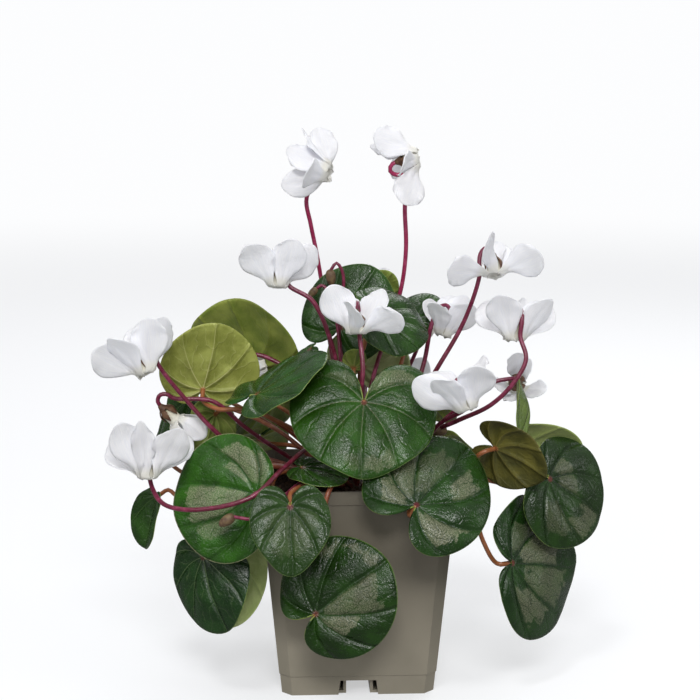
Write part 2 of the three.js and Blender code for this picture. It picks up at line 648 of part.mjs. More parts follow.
// One petal: from its foot it passes over the mouth's edge, bends back at once, and twists as it
// leans over to its own turn. Angles are in degrees.
function petalSolid(flower, foot, [ownTurn, ownSpread, ownTwist, wide = 1]) {
  const { degToRad, smoothstep } = THREE.MathUtils;
  const root = degToRad(foot);
  const turn = degToRad(ownTurn);
  const spread = degToRad(ownSpread);
  const twist = degToRad(ownTwist ?? FLOWER.twist);
  const frame = flowerFrame(flower);
  const { look, gap, side } = frame;
  const grown = flower.grown ?? 1;
  const radial = (angle) => {
    const way = gap.clone().multiplyScalar(Math.cos(angle));
    return way.addScaledVector(side, Math.sin(angle));
  };
  const along = radial(turn).multiplyScalar(Math.sin(spread)).addScaledVector(look, -Math.cos(spread));
  const lift = radial(turn).multiplyScalar(Math.cos(spread)).addScaledVector(look, Math.sin(spread));
  const first = look.clone().cross(radial(root));
  const last = look.clone().cross(radial(turn)).multiplyScalar(Math.cos(twist));
  last.addScaledVector(lift, Math.sin(twist));
  const points = [];
  for (const s of PETAL.steps) {
    const bend = Math.min(1, s / PETAL.steps[1]);
    const reach = FLOWER.petalLength * s * grown;
    const out = FLOWER.mouth + PETAL.rootIn + (PETAL.rootOut - PETAL.rootIn) * bend;
    const depth = FLOWER.tubeLength + PETAL.rootIn + (PETAL.rootDown - PETAL.rootIn) * bend;
    const middle = flowerPoint(frame, root + PETAL.rootLean * bend * (turn - root), out, depth);
    middle.addScaledVector(along, reach);
    const half = FLOWER.petalHalfWidth * petalWidth(s, wide) * (s === 0 ? 1 : grown);
    const across = first.clone().lerp(last, smoothstep(s, 0, PETAL.leant)).normalize();
    const up = along.clone().cross(across).normalize();
    for (let c = 0; c <= PETAL.columns; c += 1) {
      const w = 2 * c / PETAL.columns - 1;
      const point = middle.clone().addScaledVector(across, half * w);
      point.addScaledVector(along, -PETAL.round * reach * s * s * w * w);
      points.push(point.addScaledVector(up, -FLOWER.petalCup * half * w * w));
    }
  }
  const faces = [];
  const index = (k, c) => k * (PETAL.columns + 1) + c;
  for (let k = 0; k + 1 < PETAL.steps.length; k += 1) {
    for (let c = 0; c < PETAL.columns; c += 1) {
      faces.push([index(k, c), index(k, c + 1), index(k + 1, c + 1)]);
      faces.push([index(k, c), index(k + 1, c + 1), index(k + 1, c)]);
    }
  }
  return toSolid(thicken(points, faces, FLOWER.thickness));
}

// The short tube: closed behind, open at the mouth.
function tubeSolid(flower) {
  const { look, base } = flowerFrame(flower);
  const profile = [
    [0, 0], [FLOWER.tubeNeck, 0], [FLOWER.mouth, FLOWER.tubeLength],
    [FLOWER.mouth - FLOWER.rim, FLOWER.tubeLength], [0, FLOWER.tubeFloor],
  ].map(([radius, depth]) => new THREE.Vector2(radius, depth));
  const tube = new THREE.LatheGeometry(profile, FLOWER.sides).rotateX(Math.PI / 2);
  const turn = new THREE.Quaternion().setFromUnitVectors(new THREE.Vector3(0, 0, 1), look);
  return toSolid(tube.applyQuaternion(turn).translate(base.x, base.y, base.z));
}

function bloomGeometry(flower) {
  let bloom = tubeSolid(flower);
  flower.petals.forEach((petal, k) => {
    bloom = bloom.add(petalSolid(flower, PETAL.firstRoot + PETAL.rootStep * k, petal));
  });
  return fusedGeometry(bloom);
}

// Stalks

// A smooth curve that is stepped more finely towards its end, where a flower stalk hooks over.
class StalkCurve extends THREE.CatmullRomCurve3 {
  getUtoTmapping(u, distance) {
    return super.getUtoTmapping(u * (1 + this.crowding * (1 - u)), distance);
  }
}

function tube(points, radius, step, crowding) {
  const curve = new StalkCurve(points, false, 'centripetal');
  curve.crowding = crowding;
  const steps = Math.max(3, Math.round(curve.getLength() / step));
  const section = new THREE.Shape();
  for (let i = 0; i < STALK.sides; i += 1) {
    const angle = 2 * Math.PI * i / STALK.sides;
    const x = radius * Math.cos(angle);
    const y = radius * Math.sin(angle);
    if (i === 0) {
      section.moveTo(x, y);
    } else {
      section.lineTo(x, y);
    }
  }
  section.closePath();
  const options = { steps, bevelEnabled: false, extrudePath: curve, curveSegments: 1 };
  return toSolid(new THREE.ExtrudeGeometry(section, options));
}

// Where on the corm's crown a stalk that first heads for a point grows out.
function stalkRoot(next) {
  const flat = new THREE.Vector3(next.x, next.y, 0);
  const out = Math.min(CORM.crownRadius, CORM.rootShare * flat.length());
  const surface = CORM.middle + CORM.halfHeight * Math.sqrt(1 - (out / CORM.radius) ** 2);
  return flat.setLength(out).setZ(surface - CORM.rootSink);
}

// A leaf's stalk comes up to the blade from below and from the side of the sinus.
function petioleSolid(leaf) {
  const { face, tip } = bladeFrame(leaf);
  const slope = STALK.arrivalSlope;
  const arrival = face.clone().multiplyScalar(-Math.cos(slope)).addScaledVector(tip, -Math.sin(slope));
  const seat = (BLADE.thickness / 2 + BLADE.seatGap + STALK.petiole * Math.sin(slope)) / Math.cos(slope);
  const end = vec(leaf.at).addScaledVector(arrival, seat);
  const before = end.clone().addScaledVector(arrival, STALK.arrivalLength);
  const route = (PETIOLE_ROUTES[leaf.name] ?? []).map(vec);
  const root = stalkRoot(route[0] ?? before);
  if (route.length === 0) {
    route.push(root.clone().lerp(before, 0.5).add(new THREE.Vector3(0, 0, STALK.archLift)));
  }
  const step = route.length > 3 ? STALK.drapedStep : STALK.petioleStep;
  return tube([root, ...route, before, end], STALK.petiole, step, 0);
}

// The flower stalk, the tight hook at its top, and the calyx that the flower sits in.
function scapeSolid(flower) {
  const { look, gap, base } = flowerFrame(flower);
  const inFrame = (down, out) => base.clone().addScaledVector(look, down).addScaledVector(gap, out);
  const route = flower.route.map(vec);
  const root = stalkRoot(route[0]);
  const hook = HOOK.slice(flower.hookFrom ?? 0).map(([down, out]) => inFrame(down, out));
  const calyx = new THREE.CylinderGeometry(CALYX.radius, CALYX.base, CALYX.length, CALYX.sides);
  calyx.rotateX(Math.PI / 2);
  const turn = new THREE.Quaternion().setFromUnitVectors(new THREE.Vector3(0, 0, 1), look);
  const centre = inFrame(-CALYX.length / 2 - CALYX.gap, 0);
  calyx.applyQuaternion(turn).translate(centre.x, centre.y, centre.z);
  return tube([root, ...route, ...hook], STALK.scape, STALK.scapeStep, STALK.crowding).add(toSolid(calyx));
}

function budSolid(bud) {
  const route = bud.route.map(vec);
  const look = direction(bud.look);
  const end = route[route.length - 1];
  const body = new THREE.SphereGeometry(1, BUD.sides, BUD.rings).rotateX(Math.PI / 2);
  body.scale(BUD.width * bud.length / 2, BUD.width * bud.length / 2, bud.length / 2);
  const turn = new THREE.Quaternion().setFromUnitVectors(new THREE.Vector3(0, 0, 1), look);
  const centre = end.clone().addScaledVector(look, bud.length / 2 - BUD.sink);
  body.applyQuaternion(turn).translate(centre.x, centre.y, centre.z);
  return tube([stalkRoot(route[0]), ...route], STALK.bud, STALK.scapeStep, STALK.crowding).add(toSolid(body));
}

function crownGeometry() {
  let crown = toSolid(cormGeometry(0));
  for (const leaf of LEAVES) {
    crown = crown.add(petioleSolid(leaf));
  }
  for (const flower of FLOWERS) {
    crown = crown.add(scapeSolid(flower));
  }
  for (const bud of BUDS) {
    crown = crown.add(budSolid(bud));
  }
  return fusedGeometry(crown);
}

// Assembly

function piece(name, geometry, color, roughness) {
  const material = new THREE.MeshStandardMaterial({ color, roughness, metalness: 0 });
  const mesh = new THREE.Mesh(geometry, material);
  mesh.name = name;
  return mesh;
}

const cyclamen = new THREE.Group();
cyclamen.add(piece('pot', potGeometry(), 0x736c62, 0.5));
cyclamen.add(piece('soil', soilGeometry(), 0x2a211a, 0.95));
cyclamen.add(piece('crown', crownGeometry(), 0x6b2a35, 0.45));
for (const leaf of LEAVES) {
  cyclamen.add(piece(leaf.name, bladeGeometry(leaf), 0x1f4a22, 0.35));
}
for (const flower of FLOWERS) {
  cyclamen.add(piece(flower.name, bloomGeometry(flower), 0xf4f4f6, 0.6));
}

export default cyclamen;
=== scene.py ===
"""A white-flowered cyclamen in a square nursery pot: its looks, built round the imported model."""

import math
from types import SimpleNamespace as Values
from typing import NamedTuple

import bmesh
import bpy
import numpy as np
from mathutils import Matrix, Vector


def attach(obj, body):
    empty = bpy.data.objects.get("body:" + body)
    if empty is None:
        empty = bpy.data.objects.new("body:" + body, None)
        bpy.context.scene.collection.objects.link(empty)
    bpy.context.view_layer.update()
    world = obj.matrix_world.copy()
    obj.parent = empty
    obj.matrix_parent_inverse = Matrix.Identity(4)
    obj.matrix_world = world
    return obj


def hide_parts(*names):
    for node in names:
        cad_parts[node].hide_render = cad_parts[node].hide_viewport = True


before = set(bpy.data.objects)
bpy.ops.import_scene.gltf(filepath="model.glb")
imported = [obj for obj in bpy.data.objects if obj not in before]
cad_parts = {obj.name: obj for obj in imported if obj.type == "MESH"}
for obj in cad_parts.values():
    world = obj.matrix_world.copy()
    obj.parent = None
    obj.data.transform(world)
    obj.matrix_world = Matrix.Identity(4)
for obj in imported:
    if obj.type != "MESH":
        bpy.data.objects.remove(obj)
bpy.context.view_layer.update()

# Lists of places are in millimetres, as in the part's source, and pieces are in metres.
MM = 0.001


class Leaf(NamedTuple):
    """A blade: its stalk point, which way its upper side faces, which way its tip points, then the
    reach of the tip, the reach of the lobes behind the stalk, and the whole width. route is the way
    of its stalk, between the corm and the blade."""

    name: str
    at: list
    face: list
    tip: list
    size: list
    route: list = ()
    dome: float = 0.1
    fold: float = 0
    point: float = 0.05
    veins_turned: float = 0


class Flower(NamedTuple):
    """A flower: the middle of its mouth, which way its mouth looks, and the side that its stalk
    hooks over. A petal is its turn about the mouth, its spread away from the stalk and its twist, in
    degrees, and its share of the full width."""

    name: str
    mouth: list
    look: list
    gap: list
    petals: list
    route: list
    grown: float = 1
    hook_from: int = 0
    pink: bool = False


class Bud(NamedTuple):
    """A bud: which way it points, its length, and the way of its stalk."""

    look: list
    length: float
    route: list


LEAVES = [
    Leaf("front_middle", [2, -42, 138], [0, -8, 6], [-1, -6, -8], [33, 30, 66]),
    Leaf("front_right", [24, -61, 96], [1, -8, 6], [7, 5, 6], [38, 21, 57], [[15, -42, 103], [22, -53, 99]]),
    Leaf("front_low", [-20, -63, 48], [-3, -9, 2], [7, -1, 6], [38, 15, 54],
        [[-10, -39, 102.5], [-14, -47.5, 98.5], [-17, -48.5, 84], [-19, -48.5, 68], [-18, -53, 54]]),
    Leaf("front_heart", [-31, -66, 97], [0, -8, 4], [0, -4, -8], [25, 13, 35],
        [[-25, -42, 100.5], [-31, -56, 100]], dome=0.06, fold=0.12, point=0.2),
    Leaf("left_silver", [-46, -51, 99], [-3, -8, 3], [-9, 4, -2], [39, 11, 58], [[-36, -37, 105]], dome=0.08,
        veins_turned=0.45),
    Leaf("left_low", [-70, -38, 67], [-5, -8, 2], [2, -4, -9], [33, 14, 40],
        [[-45, -20, 104], [-62, -28, 92]], dome=0.08),
    Leaf("left_low_back", [-61, -12, 67], [6, 8, -2], [2, -3, -9], [38, 14, 50],
        [[-46, -14, 103], [-58, -24, 88]], dome=0.12),
    Leaf("left_small", [-92, -17, 90], [-8, -6, 2], [-2, 0, -10], [24, 4, 22],
        [[-46, -8, 103], [-66, -12, 93], [-82, -14, 89]], dome=0, fold=0.4),
    Leaf("left_edge", [-94, 13, 104], [-10, -2, 2], [1, 0, 10], [23, 12, 28], [[-50, 6, 103], [-78, 12, 93]]),
    Leaf("left_upright", [-71, -1, 137], [-2, 9, 2], [2, 0, 9], [32, 10, 47],
        [[-28, -8, 116], [-48, -16, 130], [-63, -14, 130]]),
    Leaf("left_back", [-47, 32, 142], [4, 8, 4], [-3, -4, 8], [38, 12, 58], [[-28, 26, 126]]),
    Leaf("left_flat", [-45, -35, 141], [-5, -2, 9], [8, 3, 5], [35, 17, 50], dome=0.06),
    Leaf("top_left", [-6, 15, 163], [-2, -9, 3], [5, 3, 8], [32, 17, 45], dome=0.08),
    Leaf("top_right", [11, -8, 173], [4, -6, 8], [9, 2, -3], [25, 15, 42], [[-6, -6, 140], [4, -4, 157]]),
    Leaf("top_back", [7, 37, 174], [0, 9, 4], [6, -3, 7], [19, 8, 24], [[3, 17, 138], [4, 20, 160]]),
    Leaf("top_right_back", [30, 25, 166], [0, -6, 8], [4, 6, 5], [20, 8, 24], [[22, 18, 142]]),
    Leaf("middle_pale", [6, 34, 141], [0, 9, 3], [4, -3, 8], [22, 12, 42], [[4, 20, 122]], dome=0.08),
    Leaf("middle_thin", [-21, -5, 156], [-5, -2, 9], [-9, 0, -5], [10, 5, 16]),
    Leaf("middle_young", [-1, -9, 148], [0, 8, 5], [1, -5, 8], [11, 4, 11], dome=0, fold=0.3),
    Leaf("right_olive", [62, -34, 115], [5, 8, 4], [8, -4, -4], [25, 14, 36],
        [[30, -14, 104], [48, -26, 106]], dome=0.06),
    Leaf("right_upright", [73, -26, 117], [9, -4, 1], [1, 2, 9], [27, 4, 20], [[34, -8, 103], [60, -16, 104]],
        dome=0, fold=0.3),
    Leaf("right_pale", [80, 8, 105], [1, 8, 5], [9, 0, 3], [28, 8, 36], [[40, -2, 103]]),
    Leaf("right", [88.5, -24, 98], [5, -8, 4], [7, 2, -5], [34, 13, 55],
        [[30, -12, 101], [58, -23, 98], [74, -23, 95]]),
    Leaf("right_low", [69, -43, 64], [6, -7, 3], [8, 5, -2], [45, 11, 66],
        [[38, -33, 105], [49, -45, 95], [55, -47, 76]], dome=0.12),
    Leaf("rim_left", [-25, -37, 107.5], [0, -3, 9], [9, -3, -1], [20, 8, 24], dome=0.06),
    Leaf("left_hidden", [-66, 15, 122], [-6, 8, -1], [-3, -4, -9], [20, 8, 28], dome=0.08),
    Leaf("left_dark", [-79, 24, 129], [-7, -7, 1], [-6, 5, -7], [17, 8, 24], dome=0.08),
    Leaf("back_low_left", [-20, 60, 72], [-2, 8, 3], [-1, 3, -8], [32, 12, 46],
        [[-14, 44, 103], [-19, 55, 92]]),
    Leaf("back_low_right", [24, 61, 58], [2, 8, 2], [1, 2, -8], [30, 12, 44], [[14, 44, 102], [23, 56, 84]]),
    Leaf("back_rim", [0, 52, 105], [0, 6, 8], [1, 7, -5], [33, 14, 50]),
    Leaf("back_left", [-46, 42, 104], [-5, 6, 7], [-6, 5, -4], [30, 12, 46]),
    Leaf("back_right", [46, 46, 101], [5, 6, 7], [6, 5, -5], [28, 12, 42]),
    Leaf("back_high", [-16, 48, 137], [-2, 7, 7], [-2, 8, -4], [28, 12, 40], [[-4, 24, 118]]),
    Leaf("back_high_left", [-40, 42, 122], [-5, 6, 7], [-6, 5, -3], [24, 10, 36]),
    Leaf("back_high_right", [35, 26, 129], [5, 5, 7], [7, 5, -1], [20, 10, 32]),
]

FLOWERS = [
    Flower("top_left", [-12, 5, 237], [8, -3, -2], [2, 8, -3],
        [[88, 50, -65], [119, 38, 15, 0.6], [146, 14, -15, 0.85], [196, 82, -10, 0.95], [243, 24, 40, 0.9]],
        [[-6, 12, 129], [-11, 26, 156], [-14, 32, 179], [-17, 29, 197], [-20, 23, 212], [-22, 18, 224]],
        grown=0.87, hook_from=1, pink=True),
    Flower("top_middle", [29, 3, 244], [9, -1, 2], [-3, 3, -9],
        [[65, 46, 25, 0.9], [150, 16, -50, 0.65], [196, 36, -40, 0.95], [260, 68, -35, 0.7], [302, 62, 60]],
        [[8, 12, 134], [16, 21, 159], [23, 23, 180], [25, 18, 200], [24, 13, 218]], grown=0.9, hook_from=1,
        pink=True),
    Flower("upper_left", [-36, -18, 187], [-1, -2, -9], [6, 6, -2],
        [[53, 26, -60], [112, 24, -15], [181, 46, 40], [250, 36, -20, 0.9], [302, 36, 0, 0.9]],
        [[-7, -10, 138], [-11, -14, 159], [-20, -15, 180]], grown=0.95),
    Flower("middle", [-1, -34, 168], [0, -2, -9], [2, 9, 0],
        [[47, 27, 30, 0.8], [124, 74, -50, 0.95], [177, 60, -45, 0.7], [219, 24, 45], [314, 26, -15, 0.9]],
        [[0, -20, 116], [1, -33, 139], [2, -33, 152]], grown=0.95),
    Flower("left", [-95, -24, 149], [3, -2, -8], [7, 4, 0],
        [[44, 30, -40, 0.95], [68, 24, -50], [142, 40, -10, 0.8], [170, 48, 50], [294, 20, 25, 0.9]],
        [[-40, -10, 103], [-61, -17, 117], [-80, -18, 138]]),
    Flower("right_high", [62, -20, 192], [0, -4, -8], [-7, 4, -2],
        [[80, 26, 5, 0.8], [112, 48, 55, 0.9], [199, 86, -55, 0.95], [245, 64, 60, 0.6],
         [288, 100, 55, 0.85]],
        [[23, -5, 122], [38, -9, 148], [50, -10, 170]]),
    Flower("right", [70, -31, 164], [-1, -1, -9], [2, -9, 0],
        [[55, 32, 30], [160, 46, -45], [212, 32, -30, 0.6], [249, 38, 45], [308, 28, -30, 0.9]],
        [[25, -15, 114], [45, -30, 127], [59, -39, 136], [69, -42, 147], [74, -41, 157]], grown=0.95),
    Flower("middle_right", [46, -60, 138], [3, -2, -8], [2, 9, -2],
        [[56, 34, 15, 0.6], [151, 50, -30, 0.95], [201, 46, -10, 0.8], [256, 32, 65], [312, 28, -20]],
        [[26, -20, 109], [36, -34, 126]]),
    Flower("left_low", [-94, -42, 105], [0, -1, -9], [0, 9, 0],
        [[46, 50, 30, 0.9], [122, 32, -45, 0.85], [200, 8, 10, 0.5], [238, 18, 50, 0.95],
         [318, 60, -35, 0.8]],
        [[-20, -28, 114.5], [-34, -49, 110], [-48, -60, 100], [-71, -57, 94], [-86, -48, 94], [-92, -39, 99]],
        grown=1.1),
    Flower("right_back", [42, 12, 160], [-3, -1, -8], [-9, -3, 0],
        [[88, 48, -5, 0.8], [115, 24, 5], [145, 4, 5], [265, 34, -20, 0.9], [316, 52, 0, 0.75]],
        [[24, 4, 122], [33, 10, 146]], grown=0.9),
    Flower("top_back", [9, 60, 168], [0, 3, -9], [0, -9, 0],
        [[60, 20], [120, 20], [180, 18], [240, 20], [300, 20]],
        [[5, 24, 116], [8, 52, 136], [9, 50, 158]], grown=0.8),
    Flower("top_right_back", [38, 57, 153], [3, 2, -9], [-4, -8, 0],
        [[60, 22], [120, 22], [180, 20], [240, 22], [300, 20]],
        [[17, 26, 110], [25, 50, 128]], grown=0.8),
    Flower("right_nodding", [76, -1, 138], [1, 8, -3], [-6, 0, 6],
        [[44, 26, 25, 0.85], [80, 20, -45, 0.7], [158, 36, -15, 0.8], [232, 22, 20, 0.8], [284, 24, 5, 0.75]],
        [[25, -6, 108], [46, -12, 128], [62, -13, 141]], grown=0.7, hook_from=4),
    Flower("left_back", [-42, 16, 144], [9, 1, 2], [0, 0, 9],
        [[60, 38], [120, 38], [180, 42], [240, 38], [300, 38]],
        [[-14, 9, 130], [-28, 13, 142]], grown=0.65),
    Flower("left_nodding", [-83, -9, 124], [6, 1, -6], [6, 0, 6],
        [[60, 166], [120, 166], [180, 166], [240, 166], [300, 166]],
        [[-30, -2, 104], [-51, -8, 120], [-66, -10, 133]], grown=0.6, hook_from=1),
    Flower("back", [24, 69, 118], [1, 4, -9], [-2, -9, 0],
        [[60, 40], [120, 34], [180, 44], [240, 36], [300, 40]],
        [[12, 28, 108], [18, 50, 113]], hook_from=1),
]

BUDS = [
    Bud([1, 0, -9], 8,
        [[-4, 6, 135], [-7, 12, 163], [-5, 16, 178], [-5, 16, 189], [-8, 16, 194], [-11, 16, 190]]),
    Bud([-3, 0, -3], 6, [[-6, 4, 140], [-8, 8, 166], [-11, 10, 179], [-15, 11, 184], [-18, 11, 182]]),
    Bud([-6, 0, -4], 8,
        [[-22, -32, 101], [-32, -51, 99.5], [-38, -60, 95], [-46, -64, 91.5], [-56, -62, 92]]),
    Bud([-9, -2, 1], 9, [[24, -13, 108], [40, -23, 121]]),
]

# Driving dimensions

SEED = 7

BLADE = Values(
    sectors=88, rings=22, crowding=0.9, sinus=0.3, lobe_start=1.9, lobe_draw=0.92, point_angle=0.35,
    edge_wobble=0.008, edge_wave=1.5, thickness=0.6, edge_from=0.92, edge_thinned=0.65, seat=0.4,
    cad_thickness=0.7,
)

# Angle between main veins, how far they bend forward and drift, and the relief that they leave. rise
# is how fast and how late a panel's swelling starts, and fade is where it fades, how fast and how much.
VEIN = Values(
    step=0.8, bend=0.5, drift=0.05, drift_waves=(26, 8), bulge=1.2, rise=(1.7, 0.1), fade=(0.75, 4, 0.6),
    wave=1.1, wander=0.7, wander_waves=1.1,
)

TUBE_LENGTH = 7.0
TUBE_PROFILE = [
    [0.3, -0.05], [1.6, 0.0], [2.5, 0.5], [2.9, 2.0], [3.1, 4.5], [3.2, 6.2], [3.1, 6.7], [2.7, 6.5],
    [2.2, 5.6], [1.7, 4.6], [0.9, 3.2], [0.2, 3.0],
]

# claw gives the petal's foot in the tube, as distances out from its line and past its mouth.
PETAL = Values(
    rows=34, columns=19, length=24.0, half_width=8.6, thickness=0.45, edge_from=0.85, tip=0.6,
    widest=0.6, round=0.16, cup=0.16, twist=17.0, claw=[(2.6, -2.2), (2.9, -0.6), (3.6, 0.35)],
    claw_arc=38, claw_radius=2.75, claw_wrap=2.9, lip=4.3, flare=0.4, soft=0.5, crease=0.55, frill=0.6,
    bow=1.3, steps=(0.04, 0.25, 0.5, 0.75, 1.0), turn_from=2.5, turn_over=0.42, soft_waves=15.0,
    frill_waves=8.0, crease_width=0.2, edge_thinned=0.5,
)

HOOK = [[5, 7], [-1, 7], [-4.9, 6], [-6.8, 3.5], [-5.5, 0.8], [-3, 0]]

CALYX_PROFILE = [[0.95, -3.7], [1.3, -3.2], [1.7, -2.2], [2.3, -1.2], [2.55, -0.6], [1.4, -0.45], [0.3, -0.4]]

SEPAL = Values(count=5, start=-1.0, length=5.6, half_width=1.75, out=2.55, swell=1.25, thickness=0.35)

BUD_SHAPE = Values(wide=0.59, blunt=0.9, taper=0.18, least=0.05)

CORM = Values(
    radius=16.0, half_height=9.0, middle=85.5, crown=8.5, share=0.3, sink=1.4, lumps=0.02, waves=6.0,
    least=0.05,
)

STALK = Values(petiole=1.15, scape=1.05, bud=0.85, slope=0.55, arrival=5.0, arch=6.0, full_leaf=90)

POT = Values(
    height=98.0, top_half=44.5, base_half=35.4, wall=1.3, cut=6.2, bevel=0.35, bevel_steps=2,
    bevel_angle=25,
)

# The bed's lumps are their wavelengths and heights.
SOIL = Values(
    level=90.5, low=88.0, clear=0.4, steps=110, crumbs=900, crumb=2.2, crumb_sizes=(0.5, 1.0),
    crumb_stretch=(0.55, 1.25), crumb_rough=0.18, crumb_lift=0.15,
    lumps=[(22.0, 0.6), (9.0, 0.45), (4.0, 0.4), (2.0, 0.3)],
)


# Looks. Colours are 0 to 255 on screen.

# Leaf skins are laid out in centimetres. A fade is from, to, and what it gives at each.
SKIN = Values(
    side_climb=1.15, side_wander=1.4, side_spacing=1.1, side_shift=0.37, side_width=0.8,
    main_line=(0.006, 0.028, 1.0, 0.0), side_line=(0.004, 0.03, 1.0, 0.0),
    net_line=(0.0, 0.05, 1.0, 0.0), side_starts=(0.4, 1.2), side_strength=0.5, net_strength=0.15,
    vein_fade=(0.4, 3.2, 1.0, 0.45), heart_fade=(0.06, 0.2, 0.8, 0.0),
    edge_fade=(0.985, 0.998, 0.0, 0.5), grain=0.16, upper_depth=0.0013, under_depth=-0.0011,
    upper_shine=0.32, under_shine=0.3,
)

# The height of a panel's swelling beside main veins and side veins, then of noises and of small cells.
PUCKER = Values(
    main=0.42, side=0.1, cells=0.05,
    noises=[(0.7, 1.0, 0.5, 0.6), (6.5, 2.0, 0.55, 0.085), (30.0, 2.0, 0.5, 0.02)],
)

# Silver panels on the leaves: partly silver marking, partly painted sheen.
SILVER_AND_SHEEN = Values(colour=(176, 172, 146), share=0.5, ragged=0.5, soft=0.12, broken=(0.42, 0.6, 0.16, 1.0))

# The darker and the lighter part of a leaf's upper side, its veins, and its silver panels, which are
# partly the leaf's silver marking and partly painted sheen. A panel is from vein to vein, where a whole
# number is a main vein, from and to a share of the reach, and its strength.
UPPER_LOOK = dict(tone=(24, 50, 10), light=(38, 72, 18), vein=(84, 108, 60))
UPPER_LOOKS = {
    "front_middle": dict(
        tone=(26, 56, 8), light=(40, 78, 18), vein=(150, 128, 112), veining=0.22,
        sheen=[
            (0, 1, 0.72, 0.93, 0.6), (-0.5, 0, 0.7, 0.9, 0.3), (3, 3.8, 0.3, 0.85, 0.7),
            (-3.8, -3, 0.3, 0.7, 0.4),
        ],
    ),
    "front_right": dict(
        tone=(22, 46, 12), light=(34, 66, 20), vein=(10, 24, 8), veining=0.85, heart=(92, 30, 40),
        sheen=[
            (1, 2, 0.12, 0.88, 0.6), (2, 3, 0.15, 0.7, 0.8), (0, 1, 0.12, 0.75, 0.35),
            (-1, -0.3, 0.45, 0.8, 0.8), (-3, -2, 0.15, 0.85, 0.9),
        ],
    ),
    "left_silver": dict(
        tone=(30, 64, 10), light=(44, 90, 18), vein=(16, 42, 8), veining=0.8, edge=(200, 196, 156),
        sheen=[
            (0, 1, 0.08, 0.86, 1.0), (-2, -1, 0.2, 0.82, 1.0), (-1, -0.6, 0.15, 0.6, 0.9),
            (-2.7, -2, 0.3, 0.9, 0.8), (1, 1.6, 0.3, 0.8, 0.6),
        ],
    ),
    "front_low": dict(
        tone=(16, 38, 4), light=(28, 58, 10), vein=(44, 72, 26),
        sheen=[
            (-1, 0, 0.1, 0.8, 0.6), (-2, -1, 0.15, 0.6, 0.8), (1, 2, 0.7, 0.95, 0.7), (0, 1, 0.8, 0.96, 0.6),
        ],
    ),
    "front_heart": dict(
        tone=(30, 54, 16), light=(42, 68, 26), vein=(14, 30, 10), veining=0.8, heart=(92, 30, 40),
        sheen=[
            (0, 1, 0.1, 0.8, 0.2), (-1, 0, 0.1, 0.8, 0.2), (1, 2, 0.2, 0.7, 0.15), (-2, -1, 0.2, 0.7, 0.15),
        ],
    ),
    "left_low": dict(tone=(18, 42, 14), light=(28, 58, 20), vein=(116, 132, 92)),
    "left_flat": dict(tone=(22, 52, 10), light=(34, 74, 18), vein=(110, 128, 84), veining=0.35),
    "right": dict(
        tone=(22, 42, 12), light=(32, 58, 18), vein=(8, 22, 6), veining=0.85,
        sheen=[
            (0, 1, 0.1, 0.5, 0.4), (1, 2, 0.15, 0.5, 0.5), (-1, 0, 0.6, 0.95, 0.5), (-2, -1, 0.3, 0.8, 0.3),
        ],
    ),
    "right_low": dict(
        tone=(20, 44, 12), light=(30, 60, 18), vein=(8, 24, 6), veining=0.85,
        sheen=[
            (0, 1, 0.1, 0.7, 0.75), (1, 2, 0.15, 0.6, 0.4), (-1, 0, 0.2, 0.85, 0.5), (-2, -1, 0.3, 0.8, 0.6),
        ],
    ),
    "right_upright": dict(tone=(78, 98, 44), light=(102, 122, 58), vein=(140, 150, 96)),
}

# The darker and the lighter part of an underside, and its veins.
UNDER_LOOK = [(104, 122, 52), (134, 150, 72), (176, 176, 112)]
UNDER_LOOKS = {
    "left_upright": [(124, 130, 56), (156, 162, 82), (214, 210, 154)],
    "left_back": [(112, 128, 50), (146, 156, 72), (104, 106, 52)],
    "left_low_back": [(160, 178, 108), (186, 200, 134), (206, 210, 160)],
    "middle_pale": [(170, 186, 128), (194, 206, 152), (210, 214, 170)],
    "right_olive": [(66, 66, 28), (96, 92, 38), (122, 112, 58)],
    "right_pale": [(146, 162, 92), (168, 182, 108), (192, 200, 136)],
}
UNDER_HEART = (150, 96, 62)
UNDER_VEINING = 0.6
UNDER_GLOSS = 0.36

PETAL_LOOK = Values(
    shade=(238, 240, 250), white=(247, 248, 253), claw=(235, 234, 224), glow=0.6, depth=0.004,
)
TUBE_LOOK = Values(foot=(190, 184, 148), mouth=(236, 235, 228), speck=(150, 128, 90))

# Stalks: the foot, the top, the light streaks, and gloss. Husks: two tones.
PETIOLE_LOOK = [(104, 44, 38), (146, 88, 50), (170, 108, 76), 0.26]
SCAPE_LOOK = [(76, 18, 26), (106, 24, 54), (158, 64, 98), 0.2]
PINK_SCAPE_LOOK = [(84, 18, 32), (160, 40, 84), (188, 84, 122), 0.2]
CALYX_LOOK = [(72, 44, 30), (104, 74, 50)]
BUD_LOOK = [(84, 60, 44), (112, 92, 62)]
CORM_LOOK = [(58, 40, 32), (82, 58, 44)]

SOIL_LOOK = Values(dark=(26, 19, 15), light=(66, 48, 36), crumb=(104, 78, 56))
# The pot's painted shade darkens it from a little above the foot towards the rim, where the leaves shade it:
# from and to a height in metres, and its strength at each.
POT_LOOK = Values(
    dark=(132, 126, 111), light=(142, 135, 120), scuff=(160, 153, 138), film=(92, 86, 75),
    film_heights=(0.03, 0.085, 0.0, 0.75),
)


# The studio, in metres

WHITE = (0.985, 0.99, 1.0, 1.0)
STAGE = Values(
    near=0.8, far=3.0, glow_near=0.5, glow_far=0.98, near_tone=(178, 179, 181), far_tone=(40, 40, 40),
    radii=[0.0, 0.5, 1.0, 2.0, 4.0], radius=7.0, turn=2.0, height=6.0, turn_steps=8, sectors=96,
)
# How the sky's light fades with height: from, to, and its strength at each. The fades add up.
SKY = [(-0.5, 0.1, 0.26, 0.1), (0.1, 0.8, 0.1, 0.5)]
SUN = Values(energy=0.6, angle=9, source=(-0.35, -0.8, 1.3))
